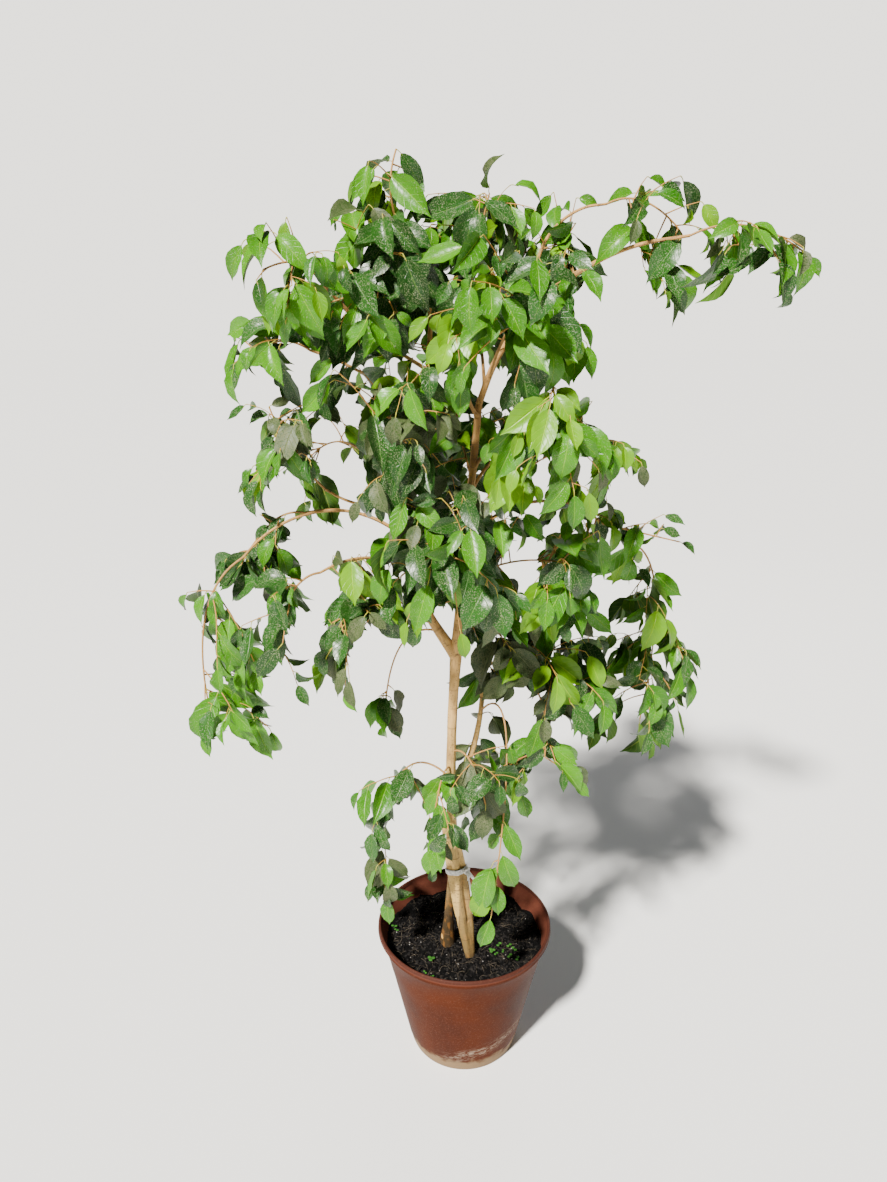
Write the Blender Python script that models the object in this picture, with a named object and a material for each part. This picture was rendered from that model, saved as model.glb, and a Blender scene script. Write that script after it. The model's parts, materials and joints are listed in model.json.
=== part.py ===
"""Weeping fig in a plastic pot, 1.65 m tall, modelled standing on the flat underside of the pot.

Metres, +Z up. The origin is the centre of the underside, +X is to the viewer's right and +Y is
away from the viewer. Three old stems stand bundled in the soil and fuse into one trunk. Boughs
leave it by heading and climb, and each mass of foliage grows by one seeded rule inside its own
space, which is an ellipsoid shared out against its neighbours' spaces.
"""

import math
from dataclasses import dataclass

import bmesh
import bpy
import numpy as np
from mathutils import Vector

# Clearance between two solids that rest on each other.
GAP = 0.0003

# Points of a fused mesh nearer than this become one.
MERGE = 0.0001

# Pot: a tapered wall that flares into a rolled rim, above a slightly narrower foot band.
POT_HEIGHT = 0.272
POT_RIM_RADIUS = 0.170
POT_FOOT_RADIUS = 0.105
POT_BAND_HEIGHT = 0.026
POT_BAND_STEP = 0.0015
POT_BODY_RADIUS = 0.112
POT_TAPER = 0.2126
POT_FLARE_START = 0.200
POT_FLARE = 0.0078
POT_FLARE_POWER = 2.5
POT_RIM_HEIGHT = 0.010
POT_WALL = 0.003
POT_FLOOR = 0.004
ROUND_SIDES = 32

# Soil: fills the pot to a hand's breadth below the rim, with low clods and a level seat.
SOIL_TOP = 0.232
SOIL_CLOD = 0.004
SOIL_SEAT_RADIUS = 0.062
SOIL_SEAT_Y = -0.040
SOIL_RINGS = 4

# Stems: where the trunk stands in the soil. A flare is how much thicker a foot is at the soil, as a
# share of the stem, and the height above the soil where that ends: the front stems narrow downwards.
TRUNK_FOOT = (0.008, -0.054)
TRUNK_SIDES = 8
FRONT_FLARE = (-0.30, 0.100)
REAR_FLARE = (0.50, 0.060)
CUT_DEPTH = 0.012
BOUGH_SIDES = 6
LIMB_STEPS = 6
TRUNK_STEPS = 15

# Legs of the bundle: foot in the soil, how far each bows out, and the height where it ends inside
# the trunk.
RIGHT_LEG_FOOT = (0.016, -0.050)
RIGHT_LEG_BOW = 0.008
RIGHT_LEG_TOP = 0.545
REAR_LEG_FOOT = (-0.033, -0.010)
REAR_LEG_BOW = 0.003
REAR_LEG_TOP = 0.470
LEG_RADIUS = 0.0072
LEG_STEPS = 6
STUB_FOOT = 0.330
STUB_TOP = 0.560
STUB_OFFSET = (-0.0135, -0.002)

# Tie: a soft band knotted round the bundle.
TIE_HEIGHT = 0.437
TIE_WIDTH = 0.011
TIE_THICK = 0.0022
TIE_TAIL = 0.030
TIE_POINTS = 20
TIE_ROOM = 0.027
KNOT_SIZE = 0.0065
KNOT_SIDE = math.radians(-50.0)

# Leaves and twigs of the masses.
LEAF_LENGTH = 0.092
LEAF_WIDTH = 0.056
LEAF_WIDEST = 0.42
LEAF_FOLD = 0.0045
CLEAR = 0.0030
LEAF_APART = 0.0030
LEAF_TRIES = 10
SHOOT_TRIES = 12
SHOOT_WEEP = 0.30
TWIG_SIDES = 3
STEM_RADIUS = 0.0019
SHOOT_RADIUS = 0.0014
TWIG_TIP = 0.0009
STEM_STEPS = 5
SHOOT_STEPS = 2
SHOOT_LONGEST = 0.130
LEAF_PITCH = 0.020
STEM_BARE = 0.25
SHOOT_BARE = 0.30
TWIG_SKIN = 0.85
DOWN = np.array((0.0, 0.0, -1.0))
TOWARDS_LIGHT = np.array((0.0, -1.1, 0.55))

# Gaps in the crown where the sky shows from in front: middle X, Z and half sizes on the plane Y = 0,
# each widening away from the viewer's eye.
VIEW_POINT = np.array((-0.041, -1.418, 1.426))
WINDOWS = (
    (0.095, 1.004, 0.028, 0.040),
    (-0.232, 1.207, 0.024, 0.038),
    (0.092, 0.720, 0.022, 0.050),
    (-0.076, 0.730, 0.036, 0.130),
    (-0.285, 0.875, 0.026, 0.050),
    (-0.259, 1.050, 0.040, 0.028),
    (-0.305, 1.130, 0.030, 0.030),
    (0.258, 1.440, 0.022, 0.036),
    (0.183, 1.428, 0.020, 0.024),
    (0.343, 1.500, 0.022, 0.016),
    (0.179, 1.540, 0.020, 0.016),
    (0.263, 1.130, 0.028, 0.034),
    (0.124, 1.168, 0.010, 0.032),
    (-0.100, 0.482, 0.020, 0.055),
)


@dataclass(frozen=True)
class Limb:
    """A tapering stem or bough: where it leaves its parent, which way, how far and how thick."""

    name: str
    parent: str
    at: float
    heading: float
    climb: float
    length: float
    droop: float
    turn: float
    thick: float
    thin: float
    ease: float = 1.0


@dataclass(frozen=True)
class Mass:
    """A mass of foliage: the limb that carries it, its own space, and where its stem ends in it.

    The reach is the half size of the space each way, and the end is a share of that reach.
    """

    name: str
    parent: str
    at: float
    tint: str
    shoots: int
    leaves: int
    centre: tuple
    reach: tuple
    end: tuple


LIMBS = (
    Limb("trunk", "", 0.0, 198, 79, 1.056, -28, 55, 0.0210, 0.0120),
    Limb("left_stem", "trunk", 0.60, 153, 43, 0.615, -62, 121, 0.0165, 0.0065, 3.0),
    Limb("right_stem", "trunk", 0.36, 51, 18, 0.260, -68, 17, 0.0120, 0.0080, 2.0),
    Limb("long_limb", "trunk", 1.00, -23, 74, 0.425, 71, 9, 0.0115, 0.0045),
    Limb("high_bough", "trunk", 0.98, 243, 32, 0.186, -86, -4, 0.0065, 0.0040),
    Limb("arched_bough", "long_limb", 0.44, -3, 114, 0.198, 115, -1, 0.0060, 0.0038),
    Limb("top_right_bough", "long_limb", 0.59, 94, 24, 0.078, -6, -12, 0.0048, 0.0038),
    Limb("upper_right_bough", "long_limb", 0.11, -80, 43, 0.141, 20, 1, 0.0056, 0.0040),
    Limb("top_left_bough", "left_stem", 0.93, 223, 87, 0.133, 43, -3, 0.0056, 0.0038),
    Limb("left_tip_bough", "left_stem", 0.80, 209, 28, 0.245, -11, 26, 0.0066, 0.0040),
    Limb("shoulder_bough", "left_stem", 0.67, 180, 47, 0.207, 30, 0, 0.0066, 0.0040),
    Limb("left_mid_bough", "left_stem", 0.46, 183, -19, 0.150, -55, -3, 0.0060, 0.0040),
    Limb("left_far_bough", "left_stem", 0.34, 185, 50, 0.190, 61, 6, 0.0072, 0.0044),
    Limb("left_outer_bough", "left_far_bough", 0.67, 203, 10, 0.185, 58, 4, 0.0052, 0.0038),
    Limb("left_near_bough", "left_stem", 0.24, 217, 48, 0.211, 66, 7, 0.0068, 0.0040),
    Limb("right_mid_bough", "trunk", 0.90, -7, 60, 0.196, 96, 3, 0.0062, 0.0038),
    Limb("right_front_bough", "long_limb", 0.23, -68, 35, 0.194, 87, -10, 0.0056, 0.0038),
    Limb("right_low_bough", "trunk", 0.78, 29, 50, 0.286, 92, -21, 0.0074, 0.0042),
    Limb("right_drop_bough", "right_low_bough", 0.86, 35, -14, 0.152, 34, 0, 0.0048, 0.0038),
    Limb("low_right_bough", "right_stem", 0.82, -28, 87, 0.154, 157, -18, 0.0052, 0.0038),
    Limb("back_left_bough", "left_stem", 0.50, 120, 35, 0.190, 45, 10, 0.0064, 0.0040),
    Limb("back_right_bough", "trunk", 0.86, 60, 45, 0.200, 60, -10, 0.0064, 0.0040),
    Limb("back_top_bough", "long_limb", 0.06, 95, 65, 0.190, 60, 0, 0.0060, 0.0040),
)

MASSES = (
    Mass("top_sprig", "top_left_bough", 1.0, "young", 4, 10,
         centre=(-0.11, -0.03, 1.60), reach=(0.085, 0.09, 0.09), end=(0.0, 0.0, 0.5)),
    Mass("top_centre", "high_bough", 1.0, "fresh", 6, 22,
         centre=(0.0, -0.02, 1.565), reach=(0.135, 0.13, 0.11), end=(0.2, 0.0, 0.2)),
    Mass("top_right", "top_right_bough", 1.0, "fresh", 5, 14,
         centre=(0.135, 0.0, 1.50), reach=(0.09, 0.12, 0.11), end=(0.1, 0.0, 0.2)),
    Mass("upper_left_tip", "left_tip_bough", 1.0, "young", 5, 14,
         centre=(-0.24, -0.18, 1.465), reach=(0.09, 0.11, 0.095), end=(-0.5, 0.0, 0.1)),
    Mass("upper_left", "left_stem", 1.0, "dark", 7, 29,
         centre=(-0.155, -0.08, 1.45), reach=(0.14, 0.15, 0.15), end=(-0.3, -0.5, -0.2)),
    Mass("left_shoulder", "shoulder_bough", 1.0, "dark", 6, 22,
         centre=(-0.285, -0.02, 1.355), reach=(0.13, 0.13, 0.115), end=(-0.5, 0.0, 0.0)),
    Mass("upper_right", "upper_right_bough", 1.0, "fresh", 7, 29,
         centre=(0.045, -0.18, 1.41), reach=(0.135, 0.14, 0.15), end=(0.3, -0.3, 0.0)),
    Mass("long_limb_hang", "arched_bough", 1.0, "fresh", 7, 25,
         centre=(0.265, -0.04, 1.48), reach=(0.12, 0.12, 0.17), end=(0.4, 0.0, 0.3)),
    Mass("long_limb_tip", "long_limb", 1.0, "dark", 5, 14,
         centre=(0.385, -0.10, 1.49), reach=(0.125, 0.10, 0.08), end=(0.75, 0.0, 0.1)),
    Mass("left_mid", "left_mid_bough", 1.0, "dark", 6, 24,
         centre=(-0.28, -0.05, 1.22), reach=(0.105, 0.13, 0.15), end=(-0.3, -0.1, 0.4)),
    Mass("centre_mid", "left_stem", 0.60, "dusty", 8, 29,
         centre=(-0.12, -0.12, 1.27), reach=(0.145, 0.15, 0.175), end=(-0.1, -0.4, 0.0)),
    Mass("right_mid", "right_front_bough", 1.0, "young", 6, 22,
         centre=(0.105, -0.18, 1.24), reach=(0.11, 0.13, 0.14), end=(0.2, -0.1, -0.2)),
    Mass("right_mid_tip", "right_mid_bough", 1.0, "fresh", 5, 12,
         centre=(0.20, -0.02, 1.21), reach=(0.095, 0.12, 0.12), end=(0.5, 0.0, 0.0)),
    Mass("left_droop_upper", "left_far_bough", 1.0, "dark", 6, 18,
         centre=(-0.315, -0.07, 1.02), reach=(0.12, 0.12, 0.12), end=(-0.4, 0.0, 0.0)),
    Mass("left_droop_tip", "left_outer_bough", 1.0, "fresh", 8, 24,
         centre=(-0.385, -0.14, 0.87), reach=(0.095, 0.12, 0.215), end=(-0.3, 0.0, -0.65)),
    Mass("left_droop_near", "left_near_bough", 1.0, "dark", 5, 14,
         centre=(-0.285, -0.19, 0.975), reach=(0.085, 0.11, 0.14), end=(-0.2, 0.0, -0.3)),
    Mass("centre_left_low", "left_stem", 0.16, "dusty", 7, 26,
         centre=(-0.205, -0.14, 0.99), reach=(0.105, 0.13, 0.18), end=(-0.2, -0.2, -0.2)),
    Mass("centre_low", "trunk", 0.76, "dark", 8, 31,
         centre=(-0.035, -0.16, 1.07), reach=(0.14, 0.15, 0.155), end=(0.0, -0.4, 0.0)),
    Mass("right_low_near", "trunk", 0.72, "fresh", 7, 24,
         centre=(0.12, -0.08, 1.04), reach=(0.12, 0.14, 0.14), end=(0.3, -0.2, 0.0)),
    Mass("right_low_tip", "right_low_bough", 1.0, "fresh", 4, 9,
         centre=(0.285, 0.05, 1.025), reach=(0.12, 0.11, 0.085), end=(0.75, 0.0, 0.1)),
    Mass("right_low_outer", "right_drop_bough", 1.0, "fresh", 8, 29,
         centre=(0.32, 0.11, 0.77), reach=(0.125, 0.13, 0.225), end=(0.2, 0.0, -0.5)),
    Mass("right_low_inner", "right_stem", 1.0, "dusty", 7, 28,
         centre=(0.16, -0.03, 0.81), reach=(0.145, 0.14, 0.195), end=(0.3, 0.0, -0.1)),
    Mass("low_right", "low_right_bough", 1.0, "fresh", 5, 18,
         centre=(0.12, -0.08, 0.65), reach=(0.10, 0.10, 0.13), end=(0.1, 0.0, -0.2)),
    Mass("low_centre", "trunk", 0.43, "dark", 4, 11,
         centre=(0.03, -0.13, 0.655), reach=(0.08, 0.09, 0.14), end=(0.0, -0.2, -0.2)),
    Mass("low_front", "trunk", 0.40, "dark", 3, 8,
         centre=(-0.05, -0.13, 0.57), reach=(0.07, 0.08, 0.12), end=(-0.2, 0.0, -0.3)),
    Mass("low_left", "trunk", 0.38, "dark", 5, 18,
         centre=(-0.135, -0.03, 0.505), reach=(0.09, 0.10, 0.20), end=(-0.5, 0.0, -0.6)),
    Mass("pot_sprig", "right_stem", 0.60, "young", 3, 7,
         centre=(0.043, -0.17, 0.470), reach=(0.065, 0.07, 0.125), end=(0.0, 0.2, -0.5)),
    Mass("wisp", "left_stem", 0.08, "dark", 3, 6,
         centre=(-0.138, -0.03, 0.77), reach=(0.045, 0.06, 0.10), end=(-0.2, 0.0, -0.5)),
    Mass("back_low", "trunk", 0.62, "dark", 7, 18,
         centre=(0.0, 0.16, 0.96), reach=(0.16, 0.17, 0.17), end=(0.0, 0.4, 0.0)),
    Mass("back_mid", "trunk", 0.88, "dark", 7, 18,
         centre=(-0.02, 0.17, 1.21), reach=(0.15, 0.17, 0.15), end=(0.0, 0.4, 0.0)),
    Mass("back_left", "back_left_bough", 1.0, "fresh", 7, 18,
         centre=(-0.24, 0.20, 1.15), reach=(0.15, 0.15, 0.17), end=(-0.4, 0.3, 0.0)),
    Mass("back_right", "back_right_bough", 1.0, "fresh", 7, 18,
         centre=(0.20, 0.22, 1.18), reach=(0.15, 0.15, 0.17), end=(0.4, 0.3, 0.0)),
    Mass("back_top", "back_top_bough", 1.0, "fresh", 7, 18,
         centre=(0.02, 0.19, 1.42), reach=(0.17, 0.16, 0.13), end=(0.0, 0.4, 0.0)),
)


def half_width(share):
    """Half the width of a leaf at a share of its length, as a share of its whole width."""
    return 0.5 * np.minimum(share / LEAF_WIDEST, (1.0 - share) / (1.0 - LEAF_WIDEST))


# Shares of a leaf's length and width where it is tested against its neighbours.
LEAF_PLACES = np.array([(along, half_width(along) * side) for along in (0.25, 0.42, 0.58, 0.75, 0.9, 1.0)
                        for side in (-1.0, -0.5, 0.0, 0.5, 1.0)])


@dataclass
class Path:
    """A planned limb or twig: its centreline, its radius at each point and its first direction."""

    points: np.ndarray
    radii: np.ndarray
    first: np.ndarray


@dataclass
class Leaf:
    """A planned leaf: its root, the frame it hangs in and its size."""

    root: np.ndarray
    axis: np.ndarray
    across: np.ndarray
    normal: np.ndarray
    length: float
    width: float

    def places(self):
        """Points spread over the blade from its middle out, used to keep it clear of its neighbours."""
        return self.root + LEAF_PLACES[:, :1] * self.axis * self.length + (
            LEAF_PLACES[:, 1:] * self.across * self.width)

    def middle(self):
        """The middle of the blade."""
        return self.root + self.axis * self.length / 2

    def meets(self, points, radii, margin):
        """Whether any obstacle ball comes within the margin of the blade."""
        if len(points) == 0:
            return False
        offset = points - self.root
        along = offset @ self.axis
        aside = np.abs(offset @ self.across)
        above = np.abs(offset @ self.normal)
        share = np.clip(along / self.length, 0.0, 1.0)
        half = self.width * half_width(share)
        room = radii + margin
        inside = (along > -room) & (along < self.length + room)
        return bool(np.any(inside & (aside < half + room) & (above < LEAF_FOLD + room)))


def unit(vector):
    """The vector at length one."""
    return vector / np.linalg.norm(vector)


def direction(heading, climb):
    """The unit vector for a compass heading from +X and a climb above level, both in degrees."""
    turn, rise = math.radians(heading), math.radians(climb)
    return np.array((math.cos(rise) * math.cos(turn), math.cos(rise) * math.sin(turn), math.sin(rise)))


def place(points, share):
    """The point and tangent at a share of the way along a centreline."""
    spot = share * (len(points) - 1)
    index = min(int(spot), len(points) - 2)
    step = points[index + 1] - points[index]
    return points[index] + step * (spot - index), unit(step)


def limb_path(limb, start, first):
    """The centreline of a limb, bending evenly or early from its foot to its tip."""
    steps = TRUNK_STEPS if limb.name == "trunk" else LIMB_STEPS
    points = [np.array(start, float)]
    for step in range(steps):
        share = (step + 0.5) / steps
        bent = 1.0 - (1.0 - share) ** limb.ease
        heading = limb.heading + limb.turn * share
        points.append(points[-1] + direction(heading, limb.climb - limb.droop * bent) * limb.length / steps)
    points = np.array(points)
    radii = np.linspace(limb.thick, limb.thin, steps + 1) / 2
    if first is None:
        first = unit(points[1] - points[0])
    return Path(points, radii, first)


def plan_limbs():
    """All limbs by name, each starting on its parent's axis or just past its parent's tip."""
    planned = {}
    for limb in LIMBS:
        if not limb.parent:
            start = np.array((*TRUNK_FOOT, SOIL_TOP))
            planned[limb.name] = limb_path(limb, start, None)
            continue
        parent = planned[limb.parent]
        start, tangent = place(parent.points, limb.at)
        if limb.at < 1.0:
            planned[limb.name] = limb_path(limb, start, None)
        else:
            planned[limb.name] = limb_path(limb, start + tangent * GAP, tangent)
    return planned


def flare(above, foot):
    """How thick a stem is at a height above the soil, beside what it is higher up."""
    swell, height = foot
    return 1.0 + swell * np.clip(1.0 - above / height, 0.0, 1.0)


def at_height(points, height):
    """The point of a rising centreline at a height."""
    return np.array([np.interp(height, points[:, 2], points[:, axis]) for axis in range(3)])


def leg_path(foot, bow, top_height, widening, trunk):
    """A leg of the bundle: from its foot in the soil into the trunk, bowed outwards."""
    start = np.array((*foot, SOIL_TOP - CUT_DEPTH))
    top = at_height(trunk.points, top_height)
    share = np.linspace(0.0, 1.0, LEG_STEPS + 1)[:, None]
    outward = unit(start - np.array((*TRUNK_FOOT, start[2])))
    points = start + (top - start) * share + outward * bow * np.sin(np.pi * share)
    radii = LEG_RADIUS * flare(points[:, 2] - SOIL_TOP, widening) * np.linspace(1.0, 0.85, LEG_STEPS + 1)
    return Path(points, radii, unit(points[1] - points[0]))


def stub_path(trunk):
    """The stub of the third stem, pressed against the trunk's left side and sawn off level."""
    share = np.linspace(0.0, 1.0, LEG_STEPS + 1)
    points = np.array([at_height(trunk.points, STUB_FOOT + (STUB_TOP - STUB_FOOT) * part) for part in share])
    points[:, :2] += np.array(STUB_OFFSET) * (0.35 + 0.65 * share[:, None])
    return Path(points, np.full(LEG_STEPS + 1, LEG_RADIUS), unit(points[1] - points[0]))


def bundle(trunk):
    """What is fused with the main stem low down: the two legs and the sawn stub."""
    return [leg_path(RIGHT_LEG_FOOT, RIGHT_LEG_BOW, RIGHT_LEG_TOP, FRONT_FLARE, trunk),
            leg_path(REAR_LEG_FOOT, REAR_LEG_BOW, REAR_LEG_TOP, REAR_FLARE, trunk), stub_path(trunk)]


def tie_space(trunk):
    """The space of the tie with its hanging ends, which leaves keep out of."""
    heights = (TIE_HEIGHT + TIE_WIDTH, TIE_HEIGHT - TIE_TAIL)
    points = np.array([at_height(trunk.points, height) for height in heights])
    return Path(points, np.full(2, TIE_ROOM), unit(points[1] - points[0]))


def arc(start, first, end, steps):
    """A curve that leaves the start along the first direction and arrives at the end."""
    reach = np.linalg.norm(end - start)
    bow = start + first * reach * 0.45 - DOWN * reach * 0.15
    share = np.linspace(0.0, 1.0, steps + 1)[:, None]
    return start * (1 - share) ** 2 + bow * 2 * share * (1 - share) + end * share ** 2


def mass_stem(mass, limbs):
    """The main stem of a mass: from its limb's tip, or out of the side of a trunk stem."""
    parent = limbs[mass.parent]
    start, tangent = place(parent.points, mass.at)
    centre = np.array(mass.centre)
    end = centre + np.array(mass.end) * np.array(mass.reach)
    if mass.at < 1.0:
        outward = centre - start
        outward = unit(outward - tangent * (outward @ tangent))
        first = unit(outward + tangent * 0.5)
    else:
        start = start + tangent * GAP
        first = tangent
    points = arc(start, first, end, STEM_STEPS)
    return Path(points, np.linspace(STEM_RADIUS, SHOOT_RADIUS, STEM_STEPS + 1), first)


def samples(path, pitch=0.005):
    """Obstacle points and radii along a planned centreline."""
    points, radii = [], []
    for index in range(len(path.points) - 1):
        step = path.points[index + 1] - path.points[index]
        count = max(1, int(np.linalg.norm(step) / pitch))
        for part in range(count):
            points.append(path.points[index] + step * part / count)
            radii.append(path.radii[index])
    points.append(path.points[-1])
    radii.append(path.radii[-1])
    return np.array(points), np.array(radii)


def distance_in(mass, points):
    """How far out in a mass's space each point lies: 0 at its centre and 1 at its skin."""
    return np.linalg.norm((points - np.array(mass.centre)) / np.array(mass.reach), axis=-1)


def in_space(mass, points, skin=1.0):
    """Whether all the points lie inside the skin of a mass's space."""
    return bool(np.all(distance_in(mass, points) <= skin))


def nearest_to(mass, point):
    """Whether a point lies deeper in this mass's space than in any neighbour's."""
    own = distance_in(mass, point)
    return all(other is mass or distance_in(other, point) > own for other in MASSES)


def in_window(points):
    """Whether any of the points hides one of the gaps where the sky shows."""
    away = points - VIEW_POINT
    seen = VIEW_POINT + away * (-VIEW_POINT[1] / away[:, 1])[:, None]
    return any(bool(np.any(np.hypot((seen[:, 0] - x) / wide, (seen[:, 2] - z) / high) < 1.0))
               for x, z, wide, high in WINDOWS)


class Crown:
    """Grows every mass in turn and remembers what already fills the space."""

    def __init__(self, limbs):
        """Takes the limbs and every mass's main stem as the first obstacles."""
        self.stems = {mass.name: mass_stem(mass, limbs) for mass in MASSES}
        trunk = limbs["trunk"]
        self.limb_points, self.limb_radii = self.gather([*limbs.values(), *bundle(trunk), tie_space(trunk)])
        self.filled = {}

    @staticmethod
    def gather(paths):
        """Obstacle points and radii of several centrelines together."""
        found = [samples(path) for path in paths]
        return np.concatenate([pair[0] for pair in found]), np.concatenate([pair[1] for pair in found])

    def around(self, mass):
        """Obstacles near a mass, each widened by its clearance: limbs and the other masses."""
        paths = [stem for name, stem in self.stems.items() if name != mass.name]
        pairs = [(self.limb_points, self.limb_radii), self.gather(paths)]
        pairs += [pair for name, pair in self.filled.items() if name != mass.name]
        points = np.concatenate([pair[0] for pair in pairs])
        radii = np.concatenate([pair[1] for pair in pairs]) + CLEAR
        near = np.linalg.norm(points - np.array(mass.centre), axis=1) < max(mass.reach) * 1.7 + LEAF_LENGTH
        return points[near], radii[near]

    def shoot(self, mass, stem, rng):
        """A side shoot from somewhere on the stem: it sets out level or rising, then bends down."""
        start, tangent = place(stem.points, rng.uniform(STEM_BARE, 0.95))
        aside = unit(np.cross(tangent, -DOWN) + 1e-6)
        above = np.cross(aside, tangent)
        roll = rng.uniform(0.0, 2.0 * math.pi)
        heading = unit(tangent * 0.35 + aside * math.cos(roll) + above * math.sin(roll))
        step = rng.uniform(0.6, 1.0) * SHOOT_LONGEST / SHOOT_STEPS
        points = [start]
        for _ in range(SHOOT_STEPS):
            heading = unit(heading + DOWN * SHOOT_WEEP)
            following = points[-1] + heading * step
            if not in_space(mass, following, TWIG_SKIN) or not nearest_to(mass, following):
                break
            points.append(following)
        if len(points) < 2:
            return None
        points = np.array(points)
        return Path(points, np.linspace(SHOOT_RADIUS, TWIG_TIP, len(points)), unit(points[1] - points[0]))

    def twigs(self, mass, obstacles, rng):
        """The stem and its side shoots, each new shoot reaching for the emptiest part of the space."""
        stem = self.stems[mass.name]
        twigs = [stem]
        filled = samples(stem)[0]
        for _ in range(mass.shoots):
            best, best_room = None, 0.0
            for _ in range(SHOOT_TRIES):
                shoot = self.shoot(mass, stem, rng)
                if shoot is None or self.twig_meets(shoot, obstacles):
                    continue
                room = np.min(np.linalg.norm(filled - shoot.points[-1], axis=1))
                if room > best_room:
                    best, best_room = shoot, room
            if best is not None:
                twigs.append(best)
                filled = np.concatenate([filled, samples(best)[0][2:]])
        return twigs

    def grow(self, mass):
        """The twigs and leaves of one mass, each kept clear of the limbs and the other masses."""
        rng = np.random.default_rng(MASSES.index(mass) + 1)
        obstacles = self.around(mass)
        twigs = self.twigs(mass, obstacles, rng)
        choice = self.leaf_choice(mass, twigs, obstacles, rng)
        leaves = self.spread_out(mass, choice)
        points = [samples(twig) for twig in twigs]
        spread = np.concatenate([leaf.places() for leaf in leaves]) if leaves else np.zeros((0, 3))
        self.filled[mass.name] = (
            np.concatenate([pair[0] for pair in points] + [spread]),
            np.concatenate([pair[1] for pair in points] + [np.full(len(spread), LEAF_FOLD / 2)]))
        return twigs, leaves

    @staticmethod
    def twig_meets(twig, obstacles):
        """Whether a twig comes too near a limb or another mass."""
        points, radii = samples(twig)
        apart = np.linalg.norm(points[1:, None, :] - obstacles[0][None, :, :], axis=-1)
        return bool(np.any(apart < radii[1:, None] + obstacles[1][None, :]))

    def leaf_choice(self, mass, twigs, obstacles, rng):
        """Every leaf that could hang from the twigs, inside the space and clear of all else."""
        choice = []
        around = [samples(twig) for twig in twigs]
        for index, twig in enumerate(twigs):
            own = [pair for other, pair in enumerate(around) if other != index]
            points = np.concatenate([obstacles[0]] + [pair[0] for pair in own])
            radii = np.concatenate([obstacles[1]] + [pair[1] for pair in own])
            for order, share in self.leaf_spots(twig, index):
                for _ in range(LEAF_TRIES):
                    leaf = self.leaf(mass, twig, share, order, rng)
                    if leaf is not None and not leaf.meets(points, radii, 0.0):
                        choice.append(leaf)
        return choice

    @staticmethod
    def spread_out(mass, choice):
        """The leaves of the choice that lie furthest from each other, up to the mass's number."""
        found = []
        if not choice:
            return found
        middles = np.array([leaf.middle() for leaf in choice])
        room = distance_in(mass, middles)
        spread = np.zeros((0, 3))
        while len(found) < mass.leaves and np.max(room) > 0.0:
            best = int(np.argmax(room))
            leaf = choice[best]
            places = leaf.places()
            crossed = any(other.meets(places, 0.0, LEAF_APART) for other in found)
            if crossed or leaf.meets(spread, 0.0, LEAF_APART):
                room[best] = 0.0
                continue
            distance = np.linalg.norm(middles - middles[best], axis=1)
            room = np.minimum(room, distance) if found else np.where(room > 0.0, distance, 0.0)
            room[best] = 0.0
            found.append(leaf)
            spread = np.concatenate([spread, places])
        return found

    @staticmethod
    def leaf_spots(twig, index):
        """Side and share of each place on a twig where a leaf may grow, its tip first."""
        yield 0, 1.0
        length = np.sum(np.linalg.norm(np.diff(twig.points, axis=0), axis=1))
        first = STEM_BARE if index == 0 else SHOOT_BARE
        count = int(length * (1.0 - first) / LEAF_PITCH)
        for number in range(count):
            yield number, first + (1.0 - first) * number / max(count, 1)

    def leaf(self, mass, twig, share, order, rng):
        """One hanging leaf, or nothing where it would leave the mass's space."""
        spot, tangent = place(twig.points, share)
        side = 1.0 if order % 2 else -1.0
        aside = unit(np.cross(tangent, -DOWN) + 1e-6) * side
        if share == 1.0:
            aside = aside * 0.0
        hang = rng.uniform(0.1, 1.0)
        axis = unit(aside * 0.75 + tangent * 0.35 + DOWN * hang + rng.normal(0.0, 0.2, 3))
        outward = np.array((spot[0], spot[1], 0.0)) * 2.0
        facing = outward + (TOWARDS_LIGHT if spot[1] < 0.10 else -DOWN * 0.4)
        facing = facing + rng.normal(0.0, 0.30, 3)
        across = unit(np.cross(facing, axis))
        normal = np.cross(axis, across)
        size = rng.uniform(0.88, 1.12)
        radius = np.interp(share, np.linspace(0, 1, len(twig.radii)), twig.radii)
        root = spot - axis * radius * 0.4
        leaf = Leaf(root, axis, across, normal, LEAF_LENGTH * size, LEAF_WIDTH * size)
        places = leaf.places()
        if not in_space(mass, places) or not nearest_to(mass, leaf.middle()) or in_window(places):
            return None
        return leaf


def paint(name, colour, roughness, metallic=0.0):
    """A plain Principled material."""
    material = bpy.data.materials.new(name)
    material.use_nodes = True
    shader = material.node_tree.nodes["Principled BSDF"]
    shader.inputs["Base Color"].default_value = (*colour, 1.0)
    shader.inputs["Roughness"].default_value = roughness
    shader.inputs["Metallic"].default_value = metallic
    material.diffuse_color = (*colour, 1.0)
    return material


def add_object(name, bm, material, smooth_angle=40.0):
    """A named object from a bmesh, with outward faces and smooth shading up to an angle."""
    bmesh.ops.recalc_face_normals(bm, faces=bm.faces)
    mesh = bpy.data.meshes.new(name)
    bm.to_mesh(mesh)
    bm.free()
    mesh.shade_smooth()
    mesh.set_sharp_from_angle(angle=math.radians(smooth_angle))
    mesh.materials.append(material)
    obj = bpy.data.objects.new(name, mesh)
    bpy.context.scene.collection.objects.link(obj)
    return obj


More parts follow.
